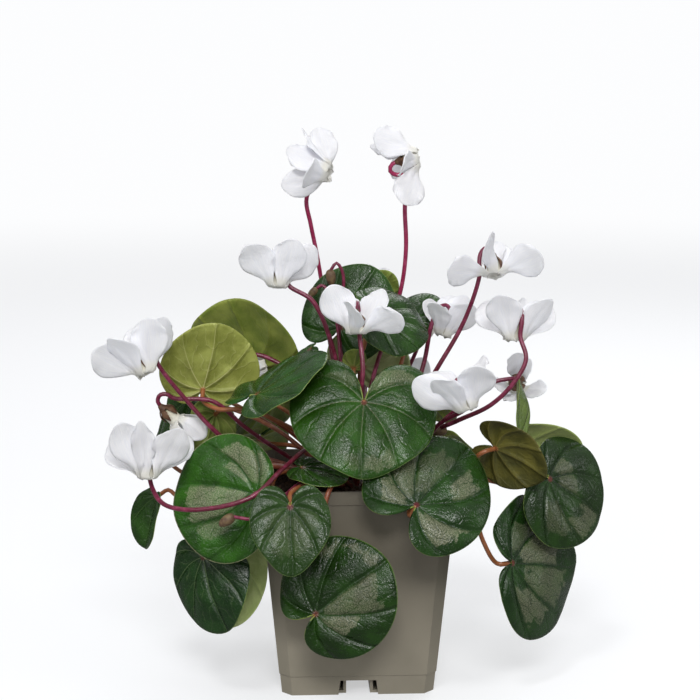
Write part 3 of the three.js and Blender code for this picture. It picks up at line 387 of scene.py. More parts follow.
# Each softbox's place, its width and height, and its power. They aim at the plant's middle.
SOFTBOXES = [
    ("top_front", (0.05, -1.3, 1.02), (0.55, 0.28), 12),
    ("front", (-0.15, -1.5, 0.5), (0.8, 0.4), 3),
    ("left_front", (-1.05, -1.05, 0.72), (0.4, 0.5), 3),
    ("right", (1.3, -0.35, 0.5), (0.35, 0.5), 2.5),
    ("back", (0.35, 1.0, 1.0), (0.8, 0.5), 5),
]
SOFTBOX_AIM = (0, 0, 0.14)
CAMERA = Values(place=(-0.03501, -0.74919, 0.275), down=9.1, turn=-2.5, lens=83.78, sensor=36.0)


# Vectors

def vec(values):
    return np.array(values, float)


def unit(values):
    v = vec(values)
    return v / np.linalg.norm(v, axis=-1, keepdims=True)


def squared(values, axis):
    v = vec(values)
    return unit(v - axis * np.dot(v, axis))


def smooth(x):
    x = np.clip(x, 0.0, 1.0)
    return x * x * (3 - 2 * x)


class Waves:
    """A smooth, repeatable random field: a few sine waves in random directions."""

    def __init__(self, rng, dimensions, wavelength, count=6):
        self.direction = rng.normal(size=(count, dimensions))
        self.direction /= np.linalg.norm(self.direction, axis=1)[:, None]
        self.pitch = 2 * math.pi / (wavelength * rng.uniform(0.7, 1.6, count))
        self.phase = rng.uniform(0, 2 * math.pi, count)

    def __call__(self, *axes):
        total = 0
        for direction, pitch, phase in zip(self.direction, self.pitch, self.phase):
            total = total + np.sin(pitch * sum(d * a for d, a in zip(direction, axes)) + phase)
        return total / math.sqrt(len(self.phase))


# Meshes

def placed(name, data):
    """A new object in the scene."""
    obj = bpy.data.objects.new(name, data)
    bpy.context.scene.collection.objects.link(obj)
    return obj


def make_object(name, points, faces, materials, slots=None, uvs=None):
    """A mesh object from points in millimetres. uvs gives a name and one pair for each point."""
    mesh = bpy.data.meshes.new(name)
    mesh.from_pydata((np.asarray(points) * MM).tolist(), [], faces)
    for material in materials:
        mesh.materials.append(material)
    if slots is not None:
        mesh.polygons.foreach_set("material_index", np.asarray(slots, np.int32))
    if uvs:
        corners = np.empty(len(mesh.loops), np.int32)
        mesh.loops.foreach_get("vertex_index", corners)
        for layer_name, pairs in uvs.items():
            layer = mesh.uv_layers.new(name=layer_name)
            layer.data.foreach_set("uv", np.asarray(pairs, np.float32)[corners].ravel())
    mesh.shade_smooth()
    mesh.update()
    return placed(name, mesh)


def carried(obj, slot, *nodes):
    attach(obj, "root")
    if nodes:
        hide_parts(*nodes)
    return obj


def grid_normals(grid):
    down = np.gradient(grid, axis=0)
    right = np.gradient(grid, axis=1)
    normal = np.cross(down, right)
    length = np.linalg.norm(normal, axis=2, keepdims=True)
    return normal / np.maximum(length, 1e-9)


def sheet_parts(grid, thickness, normal=None):
    """A closed sheet over a grid of points: its points, its faces, and 0 for its upper faces and 1
    for the rest."""
    rows, columns = grid.shape[:2]
    if normal is None:
        normal = grid_normals(grid)
    half = np.broadcast_to(np.asarray(thickness, float), (rows, columns))[..., None] / 2
    points = np.concatenate([(grid + normal * half).reshape(-1, 3), (grid - normal * half).reshape(-1, 3)])
    count = rows * columns
    index = np.arange(count).reshape(rows, columns)
    a = index[:-1, :-1].ravel()
    upper = np.stack([a, a + columns, a + columns + 1, a + 1], axis=1)
    lower = upper[:, ::-1] + count
    ring = np.concatenate([index[0], index[1:, -1], index[-1, -2::-1], index[-2:0:-1, 0]])
    after = np.roll(ring, -1)
    rim = np.stack([ring, after, after + count, ring + count], axis=1)
    faces = np.concatenate([upper, lower, rim]).tolist()
    slots = [0] * len(upper) + [1] * (len(faces) - len(upper))
    return points, faces, slots


def sheet_uvs(first, second):
    """A pair for each point of a sheet's two skins."""
    pairs = np.stack(np.broadcast_arrays(first, second), axis=-1).reshape(-1, 2)
    return np.concatenate([pairs, pairs])


def ring_faces(rings, sides):
    """The faces of a round body: its sides, and a cap at each end."""
    index = np.arange(rings * sides).reshape(rings, sides)
    a = index[:-1].ravel()
    b = np.roll(index, -1, axis=1)[:-1].ravel()
    walls = np.stack([a, b, b + sides, a + sides], axis=1)
    return [*walls.tolist(), index[0, ::-1].tolist(), index[-1].tolist()]


def circle(first, second, sides):
    """Places round a circle of radius 1, from two directions in its plane."""
    angle = 2 * math.pi * np.arange(sides)[:, None] / sides
    return np.cos(angle) * first[..., None, :] + np.sin(angle) * second[..., None, :]


def lengths(path):
    """How long a path is up to each of its points."""
    return np.concatenate([[0], np.cumsum(np.linalg.norm(np.diff(path, axis=0), axis=1))])


def tube_parts(path, radius, sides=12):
    """A round tube along a path, closed at both ends, with the share of its length and its length in
    centimetres."""
    tangent = unit(np.gradient(path, axis=0))
    sideways = [unit(np.cross(tangent[0], [0.31, 0.83, 0.47]))]
    for t in tangent[1:]:
        sideways.append(squared(sideways[-1], t))
    ring = circle(np.array(sideways), np.cross(tangent, sideways), sides)
    points = (path[:, None, :] + ring * radius[:, None, None]).reshape(-1, 3)
    length = np.repeat(lengths(path), sides)
    return points, ring_faces(len(path), sides), np.stack([length / length[-1], length / 10], axis=1)


def lathe_parts(profile, look, base, sides=24):
    """A closed round body about a line, from radii and depths."""
    first = squared([0.3, 0.7, 0.6], look)
    ring = circle(first, np.cross(look, first), sides)
    points = [base + look * depth + ring * radius for radius, depth in profile]
    share = np.repeat(np.linspace(0, 1, len(profile)), sides)
    return np.concatenate(points), ring_faces(len(profile), sides), np.stack([share, share], axis=1)


class Gathered:
    """Parts gathered into one mesh."""

    def __init__(self):
        self.points = []
        self.faces = []
        self.slots = []
        self.uvs = []
        self.count = 0

    def add(self, points, faces, uvs, slot=0):
        self.points.append(np.asarray(points))
        self.faces += [[i + self.count for i in face] for face in faces]
        self.slots += [slot] * len(faces)
        self.uvs.append(np.asarray(uvs))
        self.count += len(points)

    def make(self, name, materials):
        uvs = {"span": np.concatenate(self.uvs)}
        return make_object(name, np.concatenate(self.points), self.faces, materials, self.slots, uvs)


def catmull(points, count):
    """Evenly spaced points on the centripetal Catmull-Rom curve through points."""
    points = [vec(p) for p in points]
    chain = [2 * points[0] - points[1], *points, 2 * points[-1] - points[-2]]
    fine = []
    for k in range(len(points) - 1):
        x0, x1, x2, x3 = chain[k:k + 4]
        dt = [max(np.dot(b - a, b - a) ** 0.25, 1e-4) for a, b in ((x0, x1), (x1, x2), (x2, x3))]
        t1 = ((x1 - x0) / dt[0] - (x2 - x0) / (dt[0] + dt[1]) + (x2 - x1) / dt[1]) * dt[1]
        t2 = ((x2 - x1) / dt[1] - (x3 - x1) / (dt[1] + dt[2]) + (x3 - x2) / dt[2]) * dt[1]
        t = np.linspace(0, 1, 24, endpoint=False)[:, None]
        c2 = -3 * x1 + 3 * x2 - 2 * t1 - t2
        c3 = 2 * x1 - 2 * x2 + t1 + t2
        fine.append(x1 + t1 * t + c2 * t ** 2 + c3 * t ** 3)
    fine = np.concatenate([*fine, points[-1][None]])
    length = lengths(fine)
    steps = np.linspace(0, length[-1], count)
    return np.stack([np.interp(steps, length, fine[:, axis]) for axis in range(3)], axis=1)


# Materials

def srgb(r, g, b):
    """A colour given as 0 to 255 on screen, in the renderer's own units."""
    parts = [c / 255 for c in (r, g, b)]
    return (*(c / 12.92 if c <= 0.04045 else ((c + 0.055) / 1.055) ** 2.4 for c in parts), 1.0)


class Graph:
    """A node tree's nodes, made in short calls."""

    def __init__(self, tree):
        self.tree = tree
        self.shader = tree.nodes.get("Principled BSDF")

    def node(self, kind, **inputs):
        made = self.tree.nodes.new("ShaderNode" + kind)
        for key, value in inputs.items():
            self.put(made.inputs[key.replace("_", " ")], value)
        return made

    def put(self, socket, value):
        if isinstance(value, bpy.types.NodeSocket):
            self.tree.links.new(value, socket)
        else:
            socket.default_value = value

    def set(self, **inputs):
        for key, value in inputs.items():
            self.put(self.shader.inputs[key.replace("_", " ")], value)

    def math(self, operation, *values):
        made = self.node("Math")
        made.operation = operation
        for socket, value in zip(made.inputs, values):
            self.put(socket, value)
        return made.outputs[0]

    def plus(self, a, b):
        return self.math("ADD", a, b)

    def times(self, a, b):
        return self.math("MULTIPLY", a, b)

    def off_half(self, value):
        """How far the part of a value past its whole number is from a half."""
        return self.math("ABSOLUTE", self.math("SUBTRACT", self.math("FRACT", value), 0.5))

    def span(self, value, low, high, to_low=0.0, to_high=1.0):
        made = self.node("MapRange", Value=value, From_Min=low, From_Max=high, To_Min=to_low, To_Max=to_high)
        made.interpolation_type = "SMOOTHSTEP"
        return made.outputs["Result"]

    def mix(self, share, a, b):
        """Two colours mixed, where one given as numbers is a colour on screen."""
        made = self.node("Mix")
        made.data_type = "RGBA"
        for socket, value in zip((0, 6, 7), (share, a, b)):
            self.put(made.inputs[socket], srgb(*value) if isinstance(value, tuple) else value)
        return made.outputs[2]

    def uv(self, name):
        made = self.node("UVMap")
        made.uv_map = name
        return made.outputs[0]

    def parts(self, vector):
        return self.node("SeparateXYZ", Vector=vector).outputs[:]

    def place(self, kind="Object"):
        return self.node("TexCoord").outputs[kind]

    def noise(self, vector, scale, detail=2.0, rough=0.5):
        return self.node("TexNoise", Vector=vector, Scale=scale, Detail=detail, Roughness=rough).outputs[0]

    def cells(self, vector, scale):
        made = self.node("TexVoronoi", Vector=vector, Scale=scale)
        made.feature = "DISTANCE_TO_EDGE"
        return made.outputs["Distance"]

    def bump(self, height, distance, strength=1.0):
        self.set(Normal=self.node("Bump", Height=height, Strength=strength, Distance=distance).outputs[0])


def new_material(name):
    material = bpy.data.materials.new(name)
    material.use_nodes = True
    return material, Graph(material.node_tree)


def silver_and_sheen_panels(g, sheen, flat, phase, part, from_main, from_side):
    """Where a blade is silver or carries painted sheen: panels between veins with a ragged edge, broken up
    finely.
    """
    ragged = g.times(g.math("SUBTRACT", g.noise(flat, 1.6, 4.0, 0.6), 0.5), SILVER_AND_SHEEN.ragged)
    reach = g.plus(part, ragged)
    side = g.plus(phase, g.times(ragged, 0.5))
    soft = SILVER_AND_SHEEN.soft
    silver_and_sheen = None
    for low, high, near, far, strength in sheen:
        spot = g.times(g.span(side, low, low + soft), g.span(side, high, high - soft))
        spot = g.times(spot, g.span(reach, near, near + 0.08))
        spot = g.times(spot, g.span(reach, far, far - 0.05, 0.0, strength))
        silver_and_sheen = spot if silver_and_sheen is None else g.math("MAXIMUM", silver_and_sheen, spot)
    broken = g.span(g.noise(flat, 17.0, 4.0, 0.8), *SILVER_AND_SHEEN.broken)
    bounded = g.times(g.span(from_main, 0.02, 0.07), g.span(from_side, 0.0, 0.04, 0.4, 1.0))
    return g.times(g.times(silver_and_sheen, broken), bounded)


def leaf_material(name, upper, tone, light, vein, veining=0.5, gloss=0.18, edge=(120, 146, 84),
                  heart=(96, 44, 40), sheen=()):
    """The skin of a blade. Veins branch from the stalk point, and each panel between them is
    puckered."""
    material, g = new_material(name)
    flat = g.uv("flat")
    phase, r, _ = g.parts(g.uv("vein"))
    part, _, _ = g.parts(g.uv("span"))
    from_main = g.times(g.times(g.off_half(g.plus(phase, 0.5)), VEIN.step), r)
    wander = g.times(g.noise(flat, 1.3, 2.0), SKIN.side_wander)
    which = g.times(g.math("FLOOR", g.plus(phase, 0.5)), SKIN.side_shift)
    climb = g.math("SUBTRACT", r, g.times(from_main, SKIN.side_climb))
    beat = g.plus(g.math("DIVIDE", g.plus(climb, wander), SKIN.side_spacing), which)
    from_side = g.times(g.off_half(beat), SKIN.side_width)
    pucker = g.times(g.span(from_main, 0.0, 0.22), PUCKER.main)
    pucker = g.plus(pucker, g.times(g.span(from_side, 0.0, 0.12), PUCKER.side))
    pucker = g.plus(pucker, g.times(g.span(g.cells(flat, 8.0), 0.0, 0.3), PUCKER.cells))
    for *kind, share in PUCKER.noises:
        pucker = g.plus(pucker, g.times(g.noise(flat, *kind), share))
    g.bump(pucker, SKIN.upper_depth if upper else SKIN.under_depth)
    colour = g.mix(g.span(g.noise(flat, 0.9, 3.0), 0.35, 0.7), tone, light)
    # Silver marking mixed with painted sheen on the listed panels.
    if sheen:
        silver_and_sheen = silver_and_sheen_panels(g, sheen, flat, phase, part, from_main, from_side)
        colour = g.mix(g.times(silver_and_sheen, SILVER_AND_SHEEN.share), colour, SILVER_AND_SHEEN.colour)
    side_line = g.times(g.span(from_side, *SKIN.side_line), g.span(r, *SKIN.side_starts))
    net_line = g.span(g.cells(flat, 3.0), *SKIN.net_line)
    lines = g.math("MAXIMUM", g.span(from_main, *SKIN.main_line), g.times(side_line, SKIN.side_strength))
    lines = g.math("MAXIMUM", lines, g.times(net_line, SKIN.net_strength))
    lines = g.times(g.times(lines, g.span(r, *SKIN.vein_fade)), veining)
    colour = g.mix(lines, colour, vein)
    colour = g.mix(g.span(r, *SKIN.heart_fade), colour, heart)
    colour = g.mix(g.span(part, *SKIN.edge_fade), colour, edge)
    rough = g.plus(g.times(g.noise(flat, 9.0, 4.0, 0.65), SKIN.grain), gloss)
    shine = SKIN.upper_shine if upper else SKIN.under_shine
    g.set(Base_Color=colour, Roughness=rough, Specular_IOR_Level=shine)
    return material


def petal_material():
    material, g = new_material("petal")
    s, w, _ = g.parts(g.uv("span"))
    streaks = g.node("CombineXYZ", X=g.times(s, 1.3), Y=g.times(w, 9.0))
    streak = g.noise(streaks.outputs[0], 3.0, 3.0)
    colour = g.mix(g.span(streak, 0.3, 0.7), PETAL_LOOK.shade, PETAL_LOOK.white)
    colour = g.mix(g.span(s, 0.05, 0.26, 1.0, 0.0), colour, PETAL_LOOK.claw)
    g.set(Base_Color=colour, Roughness=0.55, Specular_IOR_Level=0.25)
    g.set(Subsurface_Weight=PETAL_LOOK.glow, Subsurface_Scale=PETAL_LOOK.depth)
    g.set(Subsurface_Radius=(0.9, 0.95, 1.0))
    g.bump(streak, 0.0004, 0.35)
    return material


def tube_material():
    material, g = new_material("flower_tube")
    along, _, _ = g.parts(g.uv("span"))
    colour = g.mix(g.span(along, 0.0, 0.6), TUBE_LOOK.foot, TUBE_LOOK.mouth)
    colour = g.mix(g.times(g.noise(g.place(), 900.0, 2.0), 0.3), colour, TUBE_LOOK.speck)
    g.set(Base_Color=colour, Roughness=0.5)
    g.bump(g.noise(g.place(), 1500.0, 3.0), 0.0002, 0.5)
    return material


def stalk_material(name, low, high, light, gloss):
    """A stalk's skin, from its foot to its top, with lighter streaks."""
    material, g = new_material(name)
    along, _, _ = g.parts(g.uv("span"))
    colour = g.mix(g.span(along, 0.1, 0.95), low, high)
    spots = g.noise(g.place(), 260.0, 4.0, 0.6)
    colour = g.mix(g.span(spots, 0.45, 0.75, 0.0, 0.7), colour, light)
    g.set(Base_Color=colour, Roughness=g.plus(g.times(spots, 0.2), gloss))
    g.bump(g.noise(g.place(), 1400.0, 3.0), 0.0002, 0.4)
    return material


def husk_material(name, first, second):
    material, g = new_material(name)
    cloud = g.noise(g.place(), 420.0, 4.0, 0.6)
    g.set(Base_Color=g.mix(g.span(cloud, 0.35, 0.65), first, second), Roughness=0.6)
    g.bump(g.noise(g.place(), 1800.0, 3.0), 0.0002, 0.6)
    return material


def soil_material():
    material, g = new_material("soil")
    coarse = g.noise(g.place(), 260.0, 5.0, 0.65)
    fine = g.noise(g.place(), 1500.0, 4.0, 0.7)
    colour = g.mix(g.span(coarse, 0.35, 0.68), SOIL_LOOK.dark, SOIL_LOOK.light)
    colour = g.mix(g.span(fine, 0.6, 0.78), colour, SOIL_LOOK.crumb)
    g.set(Base_Color=colour, Roughness=0.95, Specular_IOR_Level=0.2)
    g.bump(fine, 0.0008, 0.9)
    return material


def pot_material():
    """Moulded plastic with a few scuffs, under a painted shade that darkens it towards the rim, where
    the leaves shade it, and that ends a little above the foot.
    """
    material, g = new_material("pot_plastic")
    place = g.place()
    _, _, height = g.parts(place)
    cloud = g.noise(place, 28.0, 4.0, 0.6)
    scuff = g.span(g.noise(place, 140.0, 5.0, 0.7), 0.62, 0.8)
    colour = g.mix(g.span(cloud, 0.3, 0.7), POT_LOOK.dark, POT_LOOK.light)
    colour = g.mix(g.times(scuff, 0.3), colour, POT_LOOK.scuff)
    # Painted shade: darker towards the rim, where the leaves shade the pot.
    film = g.span(g.plus(height, g.times(cloud, 0.02)), *POT_LOOK.film_heights)
    colour = g.mix(film, colour, POT_LOOK.film)
    g.set(Base_Color=colour, Roughness=g.plus(g.times(cloud, 0.2), 0.38), Specular_IOR_Level=0.45)
    g.bump(g.noise(place, 2600.0, 2.0), 0.0001, 0.35)
    return material


# Leaf blades

def blade_reach(leaf, angle):
    tip, back, width = leaf.size
    a = (tip + back) / 2
    b = width / 2
    shift = (tip - back) / 2
    c = np.cos(angle)
    s = np.sin(angle)
    k = c ** 2 / a ** 2 + s ** 2 / b ** 2
    half = shift * c / a ** 2
    oval = (half + np.sqrt(half ** 2 - k * (shift ** 2 / a ** 2 - 1))) / k
    lobe_span = math.pi - BLADE.sinus - BLADE.lobe_start
    t = np.clip((np.abs(angle) - BLADE.lobe_start) / lobe_span, 0, 1)
    lobe = np.sqrt(1 - BLADE.lobe_draw * t ** 3)
    return oval * lobe * (1 + leaf.point * np.exp(-(angle / BLADE.point_angle) ** 2))


def blade_frame(leaf):
    face = unit(leaf.face)
    tip = squared(leaf.tip, face)
    return face, tip, np.cross(face, tip)


def make_blade(leaf, seed, upper, under):
    rng = np.random.default_rng(seed)
    face, tip, across = blade_frame(leaf)
    reach_tip, reach_back, width = leaf.size
    sectors, rings = BLADE.sectors, BLADE.rings
    spread = math.pi - BLADE.sinus
    angle = np.linspace(-spread, spread, sectors + 1)[:, None]
    part = (np.linspace(0, 1, rings + 1) ** BLADE.crowding)[None, :]
    waver = Waves(rng, 1, BLADE.edge_wave)
    reach = blade_reach(leaf, angle) * (1 + BLADE.edge_wobble * waver(angle))
    r = reach * part
    x = r * np.cos(angle)
    y = r * np.sin(angle)
    big = (reach_tip + reach_back + width) / 100
    scale = x ** 2 / reach_tip ** 2 + 4 * y ** 2 / width ** 2
    rise = leaf.fold * np.abs(y) - leaf.dome * reach_tip * scale
    drift = Waves(rng, 2, VEIN.drift_waves[0] * big + VEIN.drift_waves[1])
    bend = VEIN.bend * np.sin(np.clip(np.abs(angle), 0, math.pi)) * part ** 1.4
    phase = np.sign(angle) * (np.abs(angle) + bend) / VEIN.step + VEIN.drift * drift(x, y)
    phase = phase + leaf.veins_turned
    panel = np.abs(np.mod(phase + 0.5, 1) - 0.5) * 2
    fade_from, fade_speed, faded = VEIN.fade
    room = smooth(part * VEIN.rise[0] - VEIN.rise[1])
    room = room * (1 - faded * smooth((part - fade_from) * fade_speed))
    rise = rise + VEIN.bulge * big * (1 - (1 - panel) ** 2) * room
    rise = rise + VEIN.wave * big * drift(x, y) * part ** 1.5
    rim_wave = Waves(rng, 1, VEIN.wander_waves)
    rise = rise + VEIN.wander * big * rim_wave(angle + 0 * part) * part ** 4
    grid = vec(leaf.at) + x[..., None] * tip + y[..., None] * across + rise[..., None] * face
    normal = grid_normals(grid)
    if np.sum(normal[:, -1] @ face) < 0:
        normal = -normal
    normal[:, :2] = face
    edge = smooth((part - BLADE.edge_from) / (1 - BLADE.edge_from))
    thin = BLADE.thickness * (1 - BLADE.edge_thinned * edge) + 0 * angle
    points, faces, slots = sheet_parts(grid, thin, normal)
    uvs = {
        "flat": sheet_uvs(x / 10, y / 10),
        "vein": sheet_uvs(phase, r / 10),
        "span": sheet_uvs(part, angle / math.pi),
    }
    # A face halfway out tells which way the faces look.
    inner = points[faces[rings * 20 + 10]]
    if np.cross(inner[1] - inner[0], inner[2] - inner[0]) @ face < 0:
        faces = [f[::-1] for f in faces]
    obj = make_object("blade_" + leaf.name, points, faces, [upper, under], slots, uvs)
    carried(obj, "leaf", "leaf_" + leaf.name)


# Flowers

def flower_frame(flower):
    look = unit(flower.look)
    gap = squared(flower.gap, look)
    return look, gap, np.cross(look, gap), vec(flower.mouth) - look * TUBE_LENGTH


def petal_width(s, wide):
    """Half the petal's width as a share of the full one: a narrow petal has a more pointed tip."""
    t = np.minimum(1, s / PETAL.widest)
    end = np.maximum(0, (s - PETAL.widest) / (1 - PETAL.widest))
    return wide * (t * t * (3 - 2 * t) - (1 - PETAL.tip * wide) * end ** 2)


def petal_grid(flower, root, turn, spread, twist, wide, rng):
    """A petal from inside the tube, over the mouth's edge and back along its own direction. root is
    the angle of its foot on the mouth, and turn the angle to which its blade leans."""
    look, gap, side, base = flower_frame(flower)

    def radial(angle):
        return gap * math.cos(angle) + side * math.sin(angle)

    def at(angle, out, past_mouth):
        return base + radial(angle) * out + look * (TUBE_LENGTH + past_mouth)

    if root - turn > math.pi:
        root -= 2 * math.pi
    along = radial(turn) * math.sin(spread) - look * math.cos(spread)
    start = at(root + 0.5 * (turn - root), PETAL.lip + PETAL.flare * math.sin(spread), 0.1)
    length = PETAL.length * flower.grown
    path = [at(root, out, past_mouth) for out, past_mouth in PETAL.claw]
    path += [start + along * length * share for share in PETAL.steps]
    rows = PETAL.rows
    middle = catmull(path, rows)
    tangent = unit(np.gradient(middle, axis=0))
    run = lengths(middle)[-1]
    share = np.linspace(0, run, rows)
    s = np.clip((share - (run - length)) / length, 0, 1)[:, None]
    w = np.linspace(-1, 1, PETAL.columns)[None, :]
    turned = smooth((share - PETAL.turn_from) / (PETAL.turn_over * run))[:, None]
    across = np.cross(look, radial(turn))
    lift = radial(turn) * math.cos(spread) + look * math.sin(spread)
    last = across * math.cos(twist) + lift * math.sin(twist)
    sideways = np.cross(look, radial(root)) * (1 - turned) + last * turned
    sideways = unit(sideways - tangent * np.sum(sideways * tangent, axis=1)[:, None])
    up = np.cross(tangent, sideways)
    arc = math.radians(PETAL.claw_arc)
    foot = PETAL.claw_radius * math.sin(arc) + 0.4 * smooth(share / 4)[:, None]
    half = foot + (PETAL.half_width * flower.grown - foot) * petal_width(s, wide)
    wave = Waves(rng, 2, PETAL.soft_waves)
    soft = PETAL.soft * wave(s * length + 0 * w, half * w) * s
    crease = -PETAL.crease * np.exp(-(w / PETAL.crease_width) ** 2) * smooth(s * 3) * (1 - 0.7 * s)
    frill = Waves(rng, 1, PETAL.frill_waves)(s * length) * PETAL.frill * np.abs(w) ** 3 * s
    bow = -PETAL.bow * np.sin(math.pi * s) * flower.grown
    stand = soft + crease + frill + bow - PETAL.cup * half * w * w * smooth(s * 4)
    grid = middle[:, None, :] + sideways[:, None, :] * (half * w)[..., None]
    grid = grid - tangent[:, None, :] * (PETAL.round * length * s ** 3 * w * w)[..., None]
    grid = grid + up[:, None, :] * stand[..., None]
    wrap = PETAL.claw_wrap * (1 - np.cos(arc * w)) * (1 - turned)
    grid = grid - radial(root) * wrap[..., None]
    return grid, s, w


def make_bloom(flower, seed, petal, tube):
    rng = np.random.default_rng(seed)
    look, _, _, base = flower_frame(flower)
    bloom = Gathered()
    for order, values in enumerate(flower.petals):
        *angles, wide = values + [PETAL.twist, 1][len(values) - 2:]
        turn, spread, twist = [math.radians(angle) for angle in angles]
        root = math.radians(36 + 72 * order)
        grid, s, w = petal_grid(flower, root, turn, spread, twist, wide, rng)
        edge = smooth((np.maximum(s, np.abs(w)) - PETAL.edge_from) / (1 - PETAL.edge_from))
        points, faces, _ = sheet_parts(grid, PETAL.thickness * (1 - PETAL.edge_thinned * edge))
        bloom.add(points, faces, sheet_uvs(s, w))
    bloom.add(*lathe_parts(TUBE_PROFILE, look, base), 1)
    carried(bloom.make("petals_" + flower.name, [petal, tube]), "petal", "bloom_" + flower.name)


# Stalks

def stalk_root(point):
    flat = vec([point[0], point[1], 0])
    length = np.linalg.norm(flat)
    out = min(CORM.crown, CORM.share * length)
    top = CORM.middle + CORM.half_height * math.sqrt(1 - (out / CORM.radius) ** 2)
    root = flat / length * out
    root[2] = top - CORM.sink
    return root


def petiole_path(leaf):
    face, tip, _ = blade_frame(leaf)
    slope = STALK.slope
    arrival = -face * math.cos(slope) - tip * math.sin(slope)
    seat = (BLADE.cad_thickness / 2 + BLADE.seat + STALK.petiole * math.sin(slope)) / math.cos(slope)
    end = vec(leaf.at) + arrival * seat
    before = end + arrival * STALK.arrival
    route = leaf.route
    root = stalk_root(route[0] if route else before)
    if not route:
        route = [(root + before) / 2 + vec([0, 0, STALK.arch])]
    touch = vec(leaf.at) + face * -0.2
    path = catmull([root, *route, before, end], 56)
    return np.concatenate([path, touch[None]])


def scape_path(flower):
    look, gap, _, base = flower_frame(flower)
    hook = [base + look * down + gap * out for down, out in HOOK[flower.hook_from:]]
    return catmull([stalk_root(flower.route[0]), *flower.route, *hook], 84)


def sepal_grid(look, base, outward):
    across = np.cross(look, outward)
    s = np.linspace(0, 1, 9)[:, None]
    w = np.linspace(-1, 1, 5)[None, :]
    wide = SEPAL.half_width * np.sqrt(np.clip(s * 3 + 0.25, 0, 1)) * np.clip(1 - s ** 2.2, 0.03, 1)
    depth = SEPAL.start + SEPAL.length * s + 0 * w
    out = SEPAL.out + SEPAL.swell * np.minimum(1, s * 3) + 0.15 * np.sin(3 * s) - 0.25 * w * w
    grid = base + look * depth[..., None] + outward * out[..., None] + across * (wide * w)[..., None]
    return grid, s, w


def make_petioles(skin):
    petioles = Gathered()
    for k, leaf in enumerate(LEAVES):
        path = petiole_path(leaf)
        t = np.linspace(0, 1, len(path))
        small = 0.75 + 0.25 * min(1, sum(leaf.size) / STALK.full_leaf)
        radius = STALK.petiole * small * (1.06 - 0.16 * t + 0.1 * np.exp(-((t - 1) / 0.05) ** 2))
        radius = radius * (1 + 0.04 * np.sin(9 * t + k))
        petioles.add(*tube_parts(path, radius))
    carried(petioles.make("petioles", [skin]), "stalk", "crown")


def make_scapes(skin, pink_skin, calyx_skin):
    scapes = Gathered()
    calyces = Gathered()
    for k, flower in enumerate(FLOWERS):
        path = scape_path(flower)
        t = np.linspace(0, 1, len(path))
        radius = STALK.scape * (1.08 - 0.14 * t + 0.03 * np.sin(8 * t + k))
        scapes.add(*tube_parts(path, radius), int(flower.pink))
        look, gap, side, base = flower_frame(flower)
        calyces.add(*lathe_parts(CALYX_PROFILE, look, base, 16))
        for sepal in range(SEPAL.count):
            angle = 2 * math.pi * (sepal + 0.5) / SEPAL.count
            grid, s, w = sepal_grid(look, base, gap * math.cos(angle) + side * math.sin(angle))
            points, faces, _ = sheet_parts(grid, SEPAL.thickness)
            calyces.add(points, faces, sheet_uvs(s, w))
    carried(scapes.make("scapes", [skin, pink_skin]), "stalk", "crown")
    carried(calyces.make("calyces", [calyx_skin]), "stalk", "crown")


def make_buds(stalk_skin, bud_skin):
    buds = Gathered()
    for bud in BUDS:
        look = unit(bud.look)
        path = catmull([stalk_root(bud.route[0]), *bud.route], 64)
        buds.add(*tube_parts(path, STALK.bud * np.linspace(1.1, 0.9, len(path))))
        centre = vec(bud.route[-1]) + look * (bud.length / 2 - 1)
        wide = BUD_SHAPE.wide * bud.length / 2
        profile = []
        for a in np.linspace(0, math.pi, 15):
            stretch = -math.cos(a)
            radius = wide * math.sin(a) ** BUD_SHAPE.blunt * (1 - BUD_SHAPE.taper * stretch)
            profile.append([max(BUD_SHAPE.least, radius), stretch * bud.length / 2])
        buds.add(*lathe_parts(profile, look, centre, 20), 1)
    carried(buds.make("buds", [stalk_skin, bud_skin]), "stalk", "crown")


def make_corm(skin):
    profile = []
    for a in np.linspace(0, math.pi, 25):
        profile.append([max(CORM.least, CORM.radius * math.sin(a)), -CORM.half_height * math.cos(a)])
    centre = vec([0, 0, CORM.middle])
    points, faces, pairs = lathe_parts(profile, vec([0, 0, 1]), centre, 48)
    lumps = Waves(np.random.default_rng(SEED), 3, CORM.waves)
    points = points + (points - centre) * CORM.lumps * lumps(*points.T)[:, None]
    carried(make_object("corm", points, faces, [skin], uvs={"span": pairs}), "stalk", "crown")


# Soil: a lumpy surface over the packed soil, and crumbs that lie on it

def bed_half():
    outside = POT.base_half + (POT.top_half - POT.base_half) * SOIL.level / POT.height
    return outside - POT.wall - SOIL.clear


def inside_share(x, y):
    """How far out a place is in the pot's mouth: 1 at the wall."""
    half = bed_half()
    cut = POT.cut * half / 45
    return np.maximum(np.maximum(np.abs(x), np.abs(y)) / half, (np.abs(x) + np.abs(y)) / (2 * half - cut))


def ball():
    """A round body of triangles."""
    shape = bmesh.new()
    bmesh.ops.create_icosphere(shape, subdivisions=2, radius=1.0)
    corners = np.array([v.co for v in shape.verts])
    triangles = [[v.index for v in face.verts] for face in shape.faces]
    shape.free()
    return corners, triangles


